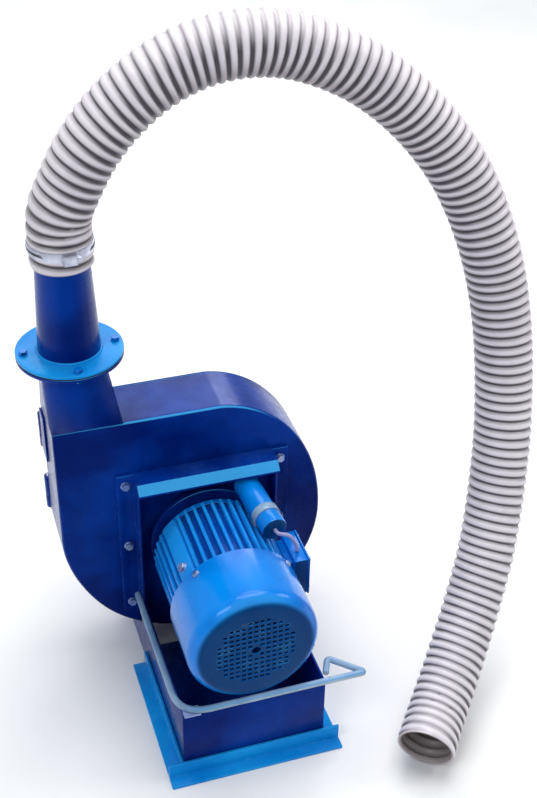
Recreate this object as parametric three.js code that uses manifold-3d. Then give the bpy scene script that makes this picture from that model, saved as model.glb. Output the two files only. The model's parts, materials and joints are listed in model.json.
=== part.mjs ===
// Hammer mill with a direct-drive motor, a blower outlet and a discharge hose.
// Millimetres, +Z up. The mill stands on Z = 0 with its footprint centred on the origin.
// While it is built, X = 0 is the motor axis, Y = 0 is the front face of the casing and
// the motor points towards -Y; the whole machine is then centred over its footprint.
import * as THREE from 'three';
import { mergeVertices } from 'three/addons/utils/BufferGeometryUtils.js';
import { ConvexGeometry } from 'three/addons/geometries/ConvexGeometry.js';
import Module from 'manifold-3d';

const wasm = await Module();
wasm.setup();

// ---------------------------------------------------------------- driving dimensions
const gap = 0.3; // between pieces that touch
const axisHeight = 207; // motor axis above the ground
const round = 36; // sides of a large round piece
const smallRound = 16; // sides of a small round piece

const casing = {
  left: -199, // outer face of the straight left wall
  right: 172,
  top: 204, // above the motor axis
  flatTopEnd: 26, // where the flat top starts to curve down
  depth: 88,
  sheet: 3,
  frontPlate: 5,
  backPlate: 4,
  rolledEdge: 4, // rounding along the front plate's edge
  scrollRadius: 180, // lower half of the scroll
  scrollEnd: 215, // degrees, where the scroll leaves its circle for the left wall
  leftWallFoot: 20, // above the motor axis
  shaftHole: 30,
  accessHole: 128,
};

const outlet = {
  width: 94, // of the square end, along X
  centreX: -160,
  centreY: casing.depth / 2,
  flangeBottom: 503,
  flangeRadius: 69,
  flangeThickness: 4,
  gasket: 1,
  throatRadius: 41, // outside of the round end
  sheet: 2,
  boltCircle: 59,
  boltRadius: 4,
};

const pipe = {
  bottomRadius: 40.5,
  topRadius: 34.5,
  taperTop: 637, // the hose's lower edge
  wall: 2,
  spigot: 40, // straight length inside the hose
};

const hose = {
  radius: 40,
  sides: 12,
  steps: 32,
};

// Middle of the hose, as [x, y, z]: x and y from the outlet pipe's axis, z from the ground.
const hoseRoute = [
  [0, 0, 678],
  [0, 0, 690],
  [3, -1, 708],
  [14, -3, 734],
  [38, -5, 779],
  [73, -5, 821],
  [116, -6, 856],
  [165, -6, 879],
  [218, -9, 890],
  [272, -12, 887],
  [325, -18, 871],
  [375, -25, 845],
  [420, -33, 810],
  [459, -41, 769],
  [493, -50, 722],
  [519, -58, 672],
  [539, -68, 619],
  [554, -77, 564],
  [563, -88, 508],
  [567, -101, 452],
  [567, -115, 396],
  [563, -132, 340],
  [554, -151, 286],
  [541, -173, 235],
  [523, -198, 186],
  [499, -225, 142],
  [471, -256, 104],
  [440, -291, 74],
  [406, -330, 52],
  [371, -374, 40.5],
];

const clamp = {
  height: 663, // middle of the band
  width: 12,
  band: 1.2,
  turn: 4, // degrees the screw housing stands round from the front
  housing: [16, 9, 13],
  screwRadius: 3.6,
  screwLength: 19,
  screwHead: 5,
  headSunk: 1, // of the head, onto the shank
};

const motor = {
  finRadius: 82,
  finDepth: 8,
  wall: 8, // between the fins and the bore
  flangeStep: 2, // the flange is this much smaller than the fins
  shieldStep: 6,
  finThickness: 4.4,
  finPitch: 9, // degrees
  frameFront: -40,
  frameRear: -155,
  coreFront: -55,
  coreRear: -140,
  coreBore: 42,
  airGap: 0.7,
  shaftRadius: 12,
  shaftRear: -192,
  shaftTip: 66,
  bearingRadius: 26,
  bearingWidth: 14,
  rearBearingRadius: 23,
  flangeThickness: 11,
  waist: 60, // radius between the flange and the front shield
  waistStep: 2,
  shieldWidth: 8,
  rearShieldWidth: 6,
  rearBoss: 34,
  cowlStep: 5.5, // the cowl is this much larger than the fins
  cowlFront: -152,
  cowlRear: -247.8,
  cowlSheet: 1.6,
  cowlRounding: 18,
  cowlHole: 6,
  fanBlades: 7,
  fanBlade: 3,
  fanHub: 24,
  fanClear: 15.5, // from the blade tips to the cowl's outside
  fanBehindShield: 8,
};
const finRoot = motor.finRadius - motor.finDepth;
const motorBore = finRoot - motor.wall;
const shieldRadius = motor.finRadius - motor.shieldStep;
const cowlRadius = motor.finRadius + motor.cowlStep;

const mount = {
  plate: 5,
  spigotHole: 48,
  hoodClear: 16, // from the motor's fins to the hood's outside
  hoodReach: 24,
  hoodSheet: 3,
  lip: 11, // forward and down, at 45 degrees
  boltBeyond: 11, // beyond the hood
  boltEdge: 12, // to the plate's edge
  boltDrop: 16, // below the plate's top
};
const hoodHalf = motor.finRadius + mount.hoodClear;
const mountBoltX = hoodHalf + mount.boltBeyond;
const mountHalf = mountBoltX + mount.boltEdge;

// Angles on the motor, anticlockwise from +X as seen from -Y, where the frame is smooth.
const smoothPads = [
  { from: 128, to: 152 }, // lifting pad, upper left
  { from: -12, to: 42 }, // terminal box seat
];

const terminalBox = {
  clear: 2.5, // beyond the motor's fins
  depth: 18.5,
  front: -147,
  rear: -86,
  bottom: -20,
  top: 40,
  lid: 3,
  lidLap: 1,
  seatInset: 6,
  seatDepth: 30, // from the box into the motor, before it is cut to the frame
  glandRadius: 8,
  glandLength: 16,
  glandBore: 3,
  collar: 5,
  collarLap: 1,
};
const boxInner = motor.finRadius + terminalBox.clear;
const boxOuter = boxInner + terminalBox.depth;

const capacitor = {
  radius: 17.5,
  clear: 1.1, // above the motor's fins
  near: { angle: 49, y: -116 }, // angle above +X, about the motor axis
  far: { angle: 58, y: -16 },
  rounding: 9,
  strap: 1.6,
  strapWidth: 12,
  strapAt: 22, // from the near end
  foot: 18, // width of the strap's foot
  leadRadius: 2.6,
  leadReach: 9, // straight out of the capacitor
  leadDrop: 7, // from its highest point down to the box
};

const rotor = {
  hubRadius: 24,
  hubFront: 10,
  hubRear: 61,
  bladeRoot: 4, // inside the hub
  discFront: 36,
  disc: 4,
  discRadius: 117,
  bladeTip: 140,
  blade: 4,
  blades: 6,
  ringFront: 72,
  ring: 4,
  ringOuter: 86,
  ringInner: 56,
  pinCircle: 70,
  pinRadius: 5,
  pinFront: 33,
  pinRear: 79,
};

const hammer = {
  count: 4,
  firstAngle: 45,
  front: 44,
  rear: 68,
  halfWidth: 8,
  length: 45, // from the pin to the striking end
  eye: 9,
};

const screen = { inner: 121, sheet: 2, front: 42 };

const door = {
  inset: 14,
  plate: 4,
  feedHole: 42,
  hingeX: -197,
  hingeBehind: 11, // behind the casing
  knuckle: 6.5,
  pin: 3.6,
  strap: 5,
  strapEnd: -96,
  strapHeights: [156, 48], // middle of each strap, above the motor axis
  strapWidth: 34,
  bracketBelow: 20,
  bracketAbove: 34,
  bracketReach: 30,
  bracket: 2.5,
  knobCircle: 147,
  knobAngles: [30, -30],
  knobRadius: 17,
  knobWidth: 14,
  knobLobes: 5,
  knobWaist: 0.74, // of the knob's radius
  studRadius: 4.5,
  collar: 4,
};

const chute = {
  half: 48,
  bottom: -49, // above the motor axis, like the rest of the chute
  top: 43,
  rearBottom: 20,
  reach: 94,
  sheet: 2.5,
};

const gate = { sheet: 2, grip: 18 };
const hopper = { half: 84, rear: 134, height: 60, sheet: 2 };

const base = {
  half: 98,
  front: -244,
  rearBeyond: 4, // behind the casing
  sheet: 3,
  underCowl: 2.5,
  rearWall: 24,
  angleLeg: 21,
  angleUp: 26,
  angle: 4,
  angleRear: -34,
};
const baseHeight = axisHeight - cowlRadius - base.underCowl;

const bar = {
  radius: 4.5,
  rear: -14,
  corner: 42,
  tipBeyond: 54, // how far the loop reaches beyond the base
  tipBend: 7,
  loopBack: 38, // depth of the loop
  loopInset: 40, // from the tip to the loop's rear corner
  returnBack: 13, // where the loop comes back to the base
  sides: 8,
  steps: 60,
  lap: 1, // of the gusset and the rod
  gusset: [22, 16, 3],
  gussetInset: 6,
};

const paints = {
  blue: { color: 0x164b9c, roughness: 0.28, metalness: 0.1 },
  motorBlue: { color: 0x2f9bd8, roughness: 0.32, metalness: 0.1 },
  darkBlue: { color: 0x123a78, roughness: 0.35, metalness: 0.1 },
  steel: { color: 0xb4b8bd, roughness: 0.3, metalness: 0.9 },
  castIron: { color: 0x5a5d61, roughness: 0.6, metalness: 0.7 },
  rubber: { color: 0x1d1d1f, roughness: 0.8, metalness: 0 },
  hose: { color: 0xcfc9cc, roughness: 0.5, metalness: 0 },
  blackPlastic: { color: 0x222326, roughness: 0.5, metalness: 0 },
};

// ---------------------------------------------------------------- tools
const machine = new THREE.Group();

function add(name, geometry, paint, parent = machine) {
  const mesh = new THREE.Mesh(geometry, new THREE.MeshStandardMaterial(paints[paint]));
  mesh.name = name;
  parent.add(mesh);
  return mesh;
}

function solid(geometry) {
  const bare = geometry.index ? geometry.toNonIndexed() : geometry.clone();
  for (const name of Object.keys(bare.attributes)) {
    if (name !== 'position') bare.deleteAttribute(name);
  }
  const merged = mergeVertices(bare, 1e-4);
  return new wasm.Manifold(new wasm.Mesh({
    numProp: 3,
    vertProperties: new Float32Array(merged.attributes.position.array),
    triVerts: new Uint32Array(merged.index.array),
  }));
}

function toGeometry(manifold) {
  const mesh = manifold.getMesh();
  const geometry = new THREE.BufferGeometry();
  geometry.setAttribute('position', new THREE.BufferAttribute(mesh.vertProperties, 3));
  geometry.setIndex(new THREE.BufferAttribute(mesh.triVerts, 1));
  return geometry;
}

function join(...geometries) {
  return toGeometry(geometries.map(solid).reduce((whole, piece) => whole.add(piece)));
}

function cut(body, ...tools) {
  return toGeometry(tools.map(solid).reduce((whole, tool) => whole.subtract(tool), solid(body)));
}

function box(x0, x1, y0, y1, z0, z1) {
  const geometry = new THREE.BoxGeometry(x1 - x0, y1 - y0, z1 - z0);
  return geometry.translate((x0 + x1) / 2, (y0 + y1) / 2, (z0 + z1) / 2);
}

function polygon(points) {
  return new THREE.Shape(points.map(([x, y]) => new THREE.Vector2(x, y)));
}

const axisX = new THREE.Vector3(1, 0, 0);
const axisY = new THREE.Vector3(0, 1, 0);
const axisZ = new THREE.Vector3(0, 0, 1);

// A shape drawn in X and Z, swept from y0 to y1.
function alongY(shape, y0, y1, options = {}) {
  const settings = { depth: y1 - y0, bevelEnabled: false, ...options };
  const geometry = new THREE.ExtrudeGeometry(shape, settings);
  const turn = new THREE.Matrix4().makeBasis(axisX, axisZ, axisY.clone().negate());
  return geometry.applyMatrix4(turn).translate(0, y1, 0);
}

// A shape drawn in Y and Z, swept from x0 to x1.
function alongX(shape, x0, x1) {
  const geometry = new THREE.ExtrudeGeometry(shape, { depth: x1 - x0, bevelEnabled: false });
  const turn = new THREE.Matrix4().makeBasis(axisY, axisZ, axisX);
  return geometry.applyMatrix4(turn).translate(x0, 0, 0);
}

// A closed profile of [radius, height] points, turned about the Y axis at (x, z).
function turnedY(profile, x = 0, z = axisHeight, sides = round) {
  const corners = profile.map(([r, y]) => new THREE.Vector2(r, y));
  if (THREE.ShapeUtils.area(corners) < 0) corners.reverse();
  return new THREE.LatheGeometry([...corners, corners[0]], sides).translate(x, 0, z);
}

// The same about a vertical axis at (x, y).
function turnedZ(profile, x, y, sides = round) {
  return turnedY(profile, 0, 0, sides).rotateX(Math.PI / 2).translate(x, y, 0);
}

function ringProfile(inner, outer, from, to) {
  return [[inner, from], [outer, from], [outer, to], [inner, to]];
}

function rodY(radius, y0, y1, x = 0, z = axisHeight, sides = smallRound) {
  return new THREE.CylinderGeometry(radius, radius, y1 - y0, sides).translate(x, (y0 + y1) / 2, z);
}

function rodZ(radius, z0, z1, x, y, sides = smallRound) {
  const rod = new THREE.CylinderGeometry(radius, radius, z1 - z0, sides);
  return rod.rotateX(Math.PI / 2).translate(x, y, (z0 + z1) / 2);
}

function sweep(path, radius, sides, steps) {
  const section = new THREE.Shape();
  section.absarc(0, 0, radius, 0, 2 * Math.PI);
  const corners = section.getPoints(sides / 2).slice(0, sides);
  const settings = { steps, extrudePath: path, bevelEnabled: false };
  return new THREE.ExtrudeGeometry(new THREE.Shape(corners), settings);
}

// Radius of a faceted cutter that stays clear of a round piece.
function clearOf(radius, sides = round) {
  return (radius + gap) / Math.cos(Math.PI / sides);
}

function polar(radius, degrees) {
  const angle = THREE.MathUtils.degToRad(degrees);
  return [radius * Math.cos(angle), radius * Math.sin(angle)];
}

// A box whose bottom and top rectangles differ, as [x0, x1, y0, y1].
function tapered(bottom, top, z0, z1) {
  const corners = [];
  for (const [[x0, x1, y0, y1], z] of [[bottom, z0], [top, z1]]) {
    for (const x of [x0, x1]) {
      for (const y of [y0, y1]) corners.push(new THREE.Vector3(x, y, z));
    }
  }
  return new ConvexGeometry(corners);
}

// ---------------------------------------------------------------- casing
const outletInner = casing.left + outlet.width; // right-hand side of the outlet duct
const casingTop = axisHeight + casing.top;
const backFace = casing.depth;

// The casing's outline in X and height above the motor axis, from the outlet's inner
// corner clockwise to the top of the left wall.
function scrollPoints() {
  const middle = casing.right - casing.scrollRadius;
  const [dx, dz] = polar(casing.scrollRadius, casing.scrollEnd);
  const [tx, tz] = polar(casing.scrollRadius / 4, casing.scrollEnd - 90);
  const path = new THREE.Path();
  path.moveTo(outletInner, casing.top);
  path.lineTo(casing.flatTopEnd, casing.top);
  const shoulder = 0.5 * (casing.flatTopEnd + casing.right);
  path.bezierCurveTo(shoulder, casing.top * 0.97, casing.right, casing.top * 0.6, casing.right, 0);
  path.absarc(middle, 0, casing.scrollRadius, 0, THREE.MathUtils.degToRad(casing.scrollEnd), true);
  path.bezierCurveTo(
    middle + dx + tx, dz + tz,
    casing.left, casing.leftWallFoot - casing.scrollRadius / 4.5,
    casing.left, casing.leftWallFoot,
  );
  path.lineTo(casing.left, casing.top);
  return path.getPoints(12);
}

// Moves an open run of points inwards; the run goes clockwise.
function insetRun(points, distance) {
  return points.map((point, i) => {
    const before = points[Math.max(i - 1, 0)];
    const after = points[Math.min(i + 1, points.length - 1)];
    const into = point.clone().sub(before).normalize();
    const out = after.clone().sub(point).normalize();
    if (i === 0) into.copy(out);
    if (i === points.length - 1) out.copy(into);
    const normal = new THREE.Vector2(into.y + out.y, -into.x - out.x).normalize();
    const corner = normal.dot(new THREE.Vector2(into.y, -into.x));
    return point.clone().addScaledVector(normal, distance / corner);
  });
}

function raised(points) {
  return points.map((point) => new THREE.Vector2(point.x, point.y + axisHeight));
}

function casingShape(inset) {
  const run = scrollPoints();
  const closed = inset > 0 ? insetRun(run, inset) : run;
  if (inset > 0) {
    closed[0].y = casing.top - inset;
    closed[closed.length - 1].y = casing.top - inset;
  }
  return new THREE.Shape(raised(closed));
}

function buildCasing() {
  const outer = scrollPoints();
  const inner = insetRun(outer, casing.sheet);
  const wrapper = new THREE.Shape(raised([...outer, ...inner.reverse()]));
  const [from, to] = [casing.frontPlate + gap, backFace - casing.backPlate - gap];
  add('scroll_wrapper', alongY(wrapper, from, to), 'blue');

  const rolled = casing.rolledEdge;
  const front = alongY(casingShape(0), rolled, 2 * casing.frontPlate, {
    bevelEnabled: true,
    bevelThickness: rolled,
    bevelSize: rolled,
    bevelOffset: -rolled,
    bevelSegments: 3,
  });
  const wide = 2 * casing.scrollRadius;
  const behind = box(-wide, wide, casing.frontPlate, wide, -wide, 2 * wide);
  add('scroll_front_plate', cut(front, behind, rodY(casing.shaftHole, -1, wide)), 'blue');

  const back = alongY(casingShape(0), backFace - casing.backPlate, backFace);
  add('scroll_back_plate', cut(back, rodY(casing.accessHole, 0, wide, 0, axisHeight, round)), 'blue');

  const screenRear = backFace - casing.backPlate - gap;
  const mesh = ringProfile(screen.inner, screen.inner + screen.sheet, screen.front, screenRear);
  add('screen_ring', turnedY(mesh), 'steel');
}

// ---------------------------------------------------------------- outlet
function squareToRound(inset, overrun) {
  const corners = [];
  for (const x of [casing.left + inset, outletInner - inset]) {
    for (const y of [inset, backFace - inset]) {
      corners.push(new THREE.Vector3(x, y, casingTop + gap - overrun));
    }
  }
  for (let i = 0; i < round; i += 1) {
    const [dx, dy] = polar(outlet.throatRadius - inset, (i * 360) / round);
    const height = outlet.flangeBottom - gap + overrun;
    corners.push(new THREE.Vector3(outlet.centreX + dx, outlet.centreY + dy, height));
  }
  return new ConvexGeometry(corners);
}

function buildOutlet() {
  const { centreX: x, centreY: y, flangeRadius, flangeThickness, throatRadius, sheet } = outlet;
  add('outlet_transition', cut(squareToRound(0, 0), squareToRound(sheet, 1)), 'blue');

  const lowerTop = outlet.flangeBottom + flangeThickness;
  const upperBottom = lowerTop + outlet.gasket + 2 * gap;
  const upperTop = upperBottom + flangeThickness;
  const bore = throatRadius - sheet;
  const holes = [0, 90, 180, 270].map((angle) => {
    const [dx, dy] = polar(outlet.boltCircle, angle);
    return rodZ(outlet.boltRadius, 0, 2 * upperTop, x + dx, y + dy, 12);
  });
  const plates = [
    ['lower_outlet_flange', outlet.flangeBottom, lowerTop, 'blue'],
    ['outlet_gasket', lowerTop + gap, upperBottom - gap, 'rubber'],
    ['upper_outlet_flange', upperBottom, upperTop, 'motorBlue'],
  ];
  for (const [name, from, to, paint] of plates) {
    const plate = turnedZ(ringProfile(bore, flangeRadius, from, to), x, y);
    add(name, cut(plate, ...holes), paint);
  }

  const pipeTop = pipe.taperTop + pipe.spigot;
  const profile = [
    [pipe.bottomRadius, upperTop + gap],
    [pipe.topRadius, pipe.taperTop],
    [pipe.topRadius, pipeTop],
    [pipe.topRadius - pipe.wall, pipeTop],
    [pipe.topRadius - pipe.wall, pipe.taperTop],
    [pipe.bottomRadius - pipe.wall, upperTop + gap],
  ];
  add('taper_pipe', turnedZ(profile, x, y), 'blue');
}

// ---------------------------------------------------------------- hose and clamp
function buildHose() {
  const { centreX: x, centreY: y } = outlet;
  const cuffTop = pipe.taperTop + pipe.spigot;
  const cuff = ringProfile(pipe.topRadius + gap, hose.radius, pipe.taperTop, cuffTop);
  add('hose_cuff', turnedZ(cuff, x, y), 'hose');
  const points = hoseRoute.map(([px, py, pz]) => new THREE.Vector3(x + px, y + py, pz));
  const route = new THREE.CatmullRomCurve3(points, false, 'centripetal');
  add('discharge_hose', sweep(route, hose.radius, hose.sides, hose.steps), 'hose');

  const group = new THREE.Group();
  group.position.set(x, y, clamp.height);
  group.rotation.z = THREE.MathUtils.degToRad(clamp.turn);
  machine.add(group);
  const inner = hose.radius + gap;
  const outer = inner + clamp.band;
  const band = turnedZ(ringProfile(inner, outer, -clamp.width / 2, clamp.width / 2), 0, 0);
  const [length, depth, height] = clamp.housing;
  const screwY = -outer - depth / 2;
  const housing = box(
    -length / 2, length / 2, -outer - depth, -inner - gap, -height / 2, height / 2,
  );
  const { screwRadius, screwLength, screwHead, headSunk } = clamp;
  const boreRadius = screwRadius + gap;
  const bore = new THREE.CylinderGeometry(boreRadius, boreRadius, 2 * length, smallRound);
  bore.rotateZ(Math.PI / 2).translate(0, screwY, 0);
  const inside = rodZ(inner, -height, height, 0, 0, round);
  add('hose_clamp_band', cut(join(band, housing), bore, inside), 'steel', group);
  const shank = new THREE.CylinderGeometry(screwRadius, screwRadius, screwLength, smallRound);
  const head = new THREE.CylinderGeometry(screwHead, screwHead, screwHead, 6);
  head.translate(0, (screwLength + screwHead) / 2 - headSunk, 0);
  const screw = join(shank, head).rotateZ(-Math.PI / 2).translate(0, screwY, 0);
  add('hose_clamp_screw', screw, 'steel', group);
}

// ---------------------------------------------------------------- motor mount
function buildMount() {
  const { hoodReach, hoodSheet, lip, boltDrop } = mount;
  const half = mountHalf;
  const face = -gap;
  const front = face - mount.plate;
  const hoodTop = axisHeight + half;
  const plate = box(-half, half, front, face, axisHeight - half, hoodTop);
  const tip = front - hoodReach;
  const roof = alongX(polygon([
    [face, hoodTop],
    [tip, hoodTop],
    [tip - lip, hoodTop - lip],
    [tip - lip, hoodTop - lip - hoodSheet],
    [tip, hoodTop - hoodSheet],
    [face, hoodTop - hoodSheet],
  ]), -hoodHalf, hoodHalf);
  const sides = [-1, 1].map((side) => {
    const inner = side * (hoodHalf - hoodSheet);
    const outer = side * hoodHalf;
    const [low, high] = [Math.min(inner, outer), Math.max(inner, outer)];
    return box(low, high, tip, face, baseHeight + gap, hoodTop);
  });
  const rows = [half - boltDrop, 0, boltDrop - half];
  const places = [-mountBoltX, mountBoltX].flatMap((x) => rows.map((rise) => [x, rise]));
  const holes = places.map(([x, rise]) => (
    rodY(outlet.boltRadius + gap, front - 1, 0, x, axisHeight + rise, 12)
  ));
  const spigot = rodY(mount.spigotHole, front - 1, 0, 0, axisHeight, round);
  add('motor_mount_frame', cut(join(plate, roof, ...sides), spigot, ...holes), 'blue');
}

// ---------------------------------------------------------------- motor
const mountFront = -gap - mount.plate;

function finnedOutline() {
  const outline = [];
  const half = THREE.MathUtils.radToDeg(motor.finThickness / 2 / motor.finRadius);
  const count = Math.round(360 / motor.finPitch);
  for (let i = 0; i < count; i += 1) {
    const middle = i * motor.finPitch - 90;
    const onPad = smoothPads.some(({ from, to }) => {
      const turned = ((middle - from) % 360 + 360) % 360;
      return turned <= to - from;
    });
    const step = motor.finPitch / 2;
    if (onPad) {
      outline.push(
        polar(motor.finRadius, middle - step + half),
        polar(motor.finRadius, middle + step - half),
      );
    } else {
      outline.push(
        polar(finRoot, middle - step + half),
        polar(finRoot, middle - half),
        polar(motor.finRadius, middle - half),
        polar(motor.finRadius, middle + half),
        polar(finRoot, middle + half),
      );
    }
  }
  return polygon(outline.map(([x, z]) => [x, z + axisHeight]));
}

function buildMotor() {
  const { shaftRadius, bearingRadius, bearingWidth, frameFront, frameRear } = motor;
  const shaftBore = shaftRadius + gap;
  const shieldBore = shaftBore + 2;

  const flangeFace = mountFront - gap;
  const flangeRear = flangeFace - motor.flangeThickness;
  const shieldEdge = frameFront + gap;
  const shieldFront = shieldEdge + motor.shieldWidth;
  const seatDepth = shieldEdge + bearingWidth + 2;
  add('drive_end_shield', turnedY([
    [shieldBore, flangeFace],
    [motor.finRadius - motor.flangeStep, flangeFace],
    [motor.finRadius - motor.flangeStep, flangeRear],
    [motor.waist, flangeRear - motor.waistStep],
    [motor.waist, shieldFront + 1],
    [shieldRadius, shieldFront],
    [shieldRadius, shieldEdge],
    [bearingRadius + gap, shieldEdge],
    [bearingRadius + gap, seatDepth],
    [shieldBore, seatDepth],
  ]), 'motorBlue');
  const front = shieldEdge + 1;
  const frontBearing = ringProfile(shaftBore, bearingRadius, front, front + bearingWidth);
  add('front_bearing', turnedY(frontBearing, 0, axisHeight, smallRound), 'steel');

  const bore = rodY(motorBore, frameRear - 1, 0, 0, axisHeight, round);
  const frame = cut(alongY(finnedOutline(), frameRear, frameFront), bore);
  add('finned_motor_frame', frame, 'motorBlue');
  const stator = ringProfile(motor.coreBore, motorBore - gap, motor.coreRear, motor.coreFront);
  add('stator_core', turnedY(stator), 'castIron');

  const { rearBearingRadius, rearShieldWidth, rearBoss } = motor;
  const seat = frameRear - gap;
  const shieldRear = seat - rearShieldWidth;
  add('rear_motor_shield', turnedY([
    [rearBearingRadius + gap, seat + bearingWidth],
    [rearBoss, seat + bearingWidth],
    [rearBoss, seat],
    [shieldRadius, seat],
    [shieldRadius, shieldRear],
    [rearBearingRadius + gap, shieldRear],
  ]), 'motorBlue');
  const rear = shieldRear + 2;
  const rearBearing = ringProfile(shaftBore, rearBearingRadius, rear, rear + bearingWidth);
  add('rear_bearing', turnedY(rearBearing, 0, axisHeight, smallRound), 'steel');

  add('motor_shaft', rodY(shaftRadius, motor.shaftRear, motor.shaftTip), 'steel');
  const core = ringProfile(shaftBore, motor.coreBore - motor.airGap, motor.coreRear, motor.coreFront);
  add('rotor_core', turnedY(core), 'castIron');
  add('cooling_fan', coolingFan(shaftBore, shieldRear - motor.fanBehindShield), 'blackPlastic');
  add('fan_cowl', turnedY(cowlProfile()), 'motorBlue');
}

function coolingFan(bore, fanRear) {
  const fanFront = motor.shaftRear + 3;
  const hub = turnedY(
    ringProfile(bore, motor.fanHub, fanFront, fanRear), 0, axisHeight, smallRound,
  );
  const halfBlade = motor.fanBlade / 2;
  const tip = cowlRadius - motor.fanClear;
  const blades = Array.from({ length: motor.fanBlades }, (_, i) => {
    const blade = box(motor.fanHub - 6, tip, fanFront, fanRear, -halfBlade, halfBlade);
    return blade.rotateY((i * 2 * Math.PI) / motor.fanBlades).translate(0, 0, axisHeight);
  });
  return join(hub, ...blades);
}

function cowlProfile() {
  const { cowlSheet: sheet, cowlRounding: rounding, cowlRear: rear, cowlHole: hole } = motor;
  const turns = [0, 22.5, 45, 67.5, 90];
  const arc = (radius) => turns.map((turn) => {
    const [dr, dy] = polar(radius, turn);
    return [cowlRadius - rounding + dr, rear + rounding - dy];
  });
  return [
    [cowlRadius, motor.cowlFront],
    ...arc(rounding),
    [hole, rear],
    [hole, rear + sheet],
    ...arc(rounding - sheet).reverse(),
    [cowlRadius - sheet, motor.cowlFront],
  ];
}

function buildTerminalBox() {
  const { front, rear, bottom, top, lid, lidLap, seatInset, seatDepth } = terminalBox;
  const [z0, z1] = [axisHeight + bottom, axisHeight + top];
  const seat = box(
    boxInner - seatDepth, boxInner + 1,
    front + seatInset, rear - seatInset,
    z0 + seatInset, z1 - seatInset,
  );
  const shell = join(box(boxInner, boxOuter, front, rear, z0, z1), seat);
  const frame = rodY(clearOf(motor.finRadius), 2 * front, 0, 0, axisHeight, round);
  add('terminal_box', cut(shell, frame), 'motorBlue');
  const cover = box(
    boxOuter + gap, boxOuter + gap + lid,
    front - lidLap, rear + lidLap,
    z0 - lidLap, z1 + lidLap,
  );
  add('terminal_box_lid', cover, 'motorBlue');

  const [x, y] = [(boxInner + boxOuter) / 2, (front + rear) / 2];
  const { glandRadius, glandLength, glandBore, collar, collarLap } = terminalBox;
  const seatZ = z0 - gap;
  const nut = rodZ(glandRadius + 1, seatZ - collar, seatZ, x, y, 6);
  const tail = ringProfile(glandBore, glandRadius, seatZ - glandLength, seatZ - collar + collarLap);
  const hole = rodZ(glandBore, 0, seatZ - gap, x, y, 12);
  add('cable_gland', cut(join(nut, turnedZ(tail, x, y, smallRound)), hole), 'blackPlastic');
}

function buildCapacitor() {
  const { radius, rounding, strap, strapWidth, strapAt, foot } = capacitor;
  const centre = motor.finRadius + radius + capacitor.clear;
  const [near, far] = [capacitor.near, capacitor.far].map(({ angle, y }) => {
    const [x, rise] = polar(centre, angle);
    return new THREE.Vector3(x, y, axisHeight + rise);
  });
  const length = near.distanceTo(far);
  const turn = new THREE.Quaternion().setFromUnitVectors(axisY, far.clone().sub(near).normalize());
  const place = new THREE.Matrix4().compose(near, turn, new THREE.Vector3(1, 1, 1));
  const rounded = [0, 30, 60, 90].map((angle) => {
    const [dr, dy] = polar(rounding, angle);
    return [radius - rounding + dr, length - rounding + dy];
  });
  const can = [[0, 0], [radius - 1, 0], [radius, 1], ...rounded, [0, length]];
  add('capacitor', turnedY(can, 0, 0, smallRound).applyMatrix4(place), 'motorBlue');

  const inner = radius + gap;
  const hoop = turnedY(
    ringProfile(inner, inner + strap, strapAt, strapAt + strapWidth), 0, 0, smallRound,
  );
  const canTool = new THREE.CylinderGeometry(inner, inner, 2 * length, smallRound);
  const middle = near.clone().lerp(far, (strapAt + strapWidth / 2) / length);
  const angle = Math.atan2(middle.z - axisHeight, middle.x);
  const reach = centre - radius / 2;
  const leg = box(finRoot, reach, -strapWidth / 2, strapWidth / 2, -foot / 2, foot / 2);
  leg.rotateY(-angle).translate(0, middle.y, axisHeight);
  const frame = rodY(clearOf(motor.finRadius), motor.frameRear, 0, 0, axisHeight, round);
  const bracket = join(hoop.applyMatrix4(place), leg);
  add('capacitor_bracket', cut(bracket, canTool.applyMatrix4(place), frame), 'steel');

  const { leadRadius, leadReach, leadDrop } = capacitor;
  const boxTop = axisHeight + terminalBox.top + gap;
  const landingX = boxOuter - leadReach;
  const out = near.y - leadReach;
  const lead = new THREE.CatmullRomCurve3([
    new THREE.Vector3(near.x, near.y - gap, near.z),
    new THREE.Vector3(near.x + 2, out, near.z),
    new THREE.Vector3((near.x + landingX) / 2, out - leadDrop, near.z - 1),
    new THREE.Vector3(landingX, out - leadRadius, boxTop + leadDrop),
    new THREE.Vector3(landingX, out - leadRadius, boxTop + 1),
  ]);
  add('capacitor_lead', sweep(lead, leadRadius, 8, 14), 'blackPlastic');
}

// ---------------------------------------------------------------- rotor and hammers
function pinPlace(i) {
  const [x, rise] = polar(rotor.pinCircle, hammer.firstAngle + (i * 360) / hammer.count);
  return [x, axisHeight + rise];
}

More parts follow.
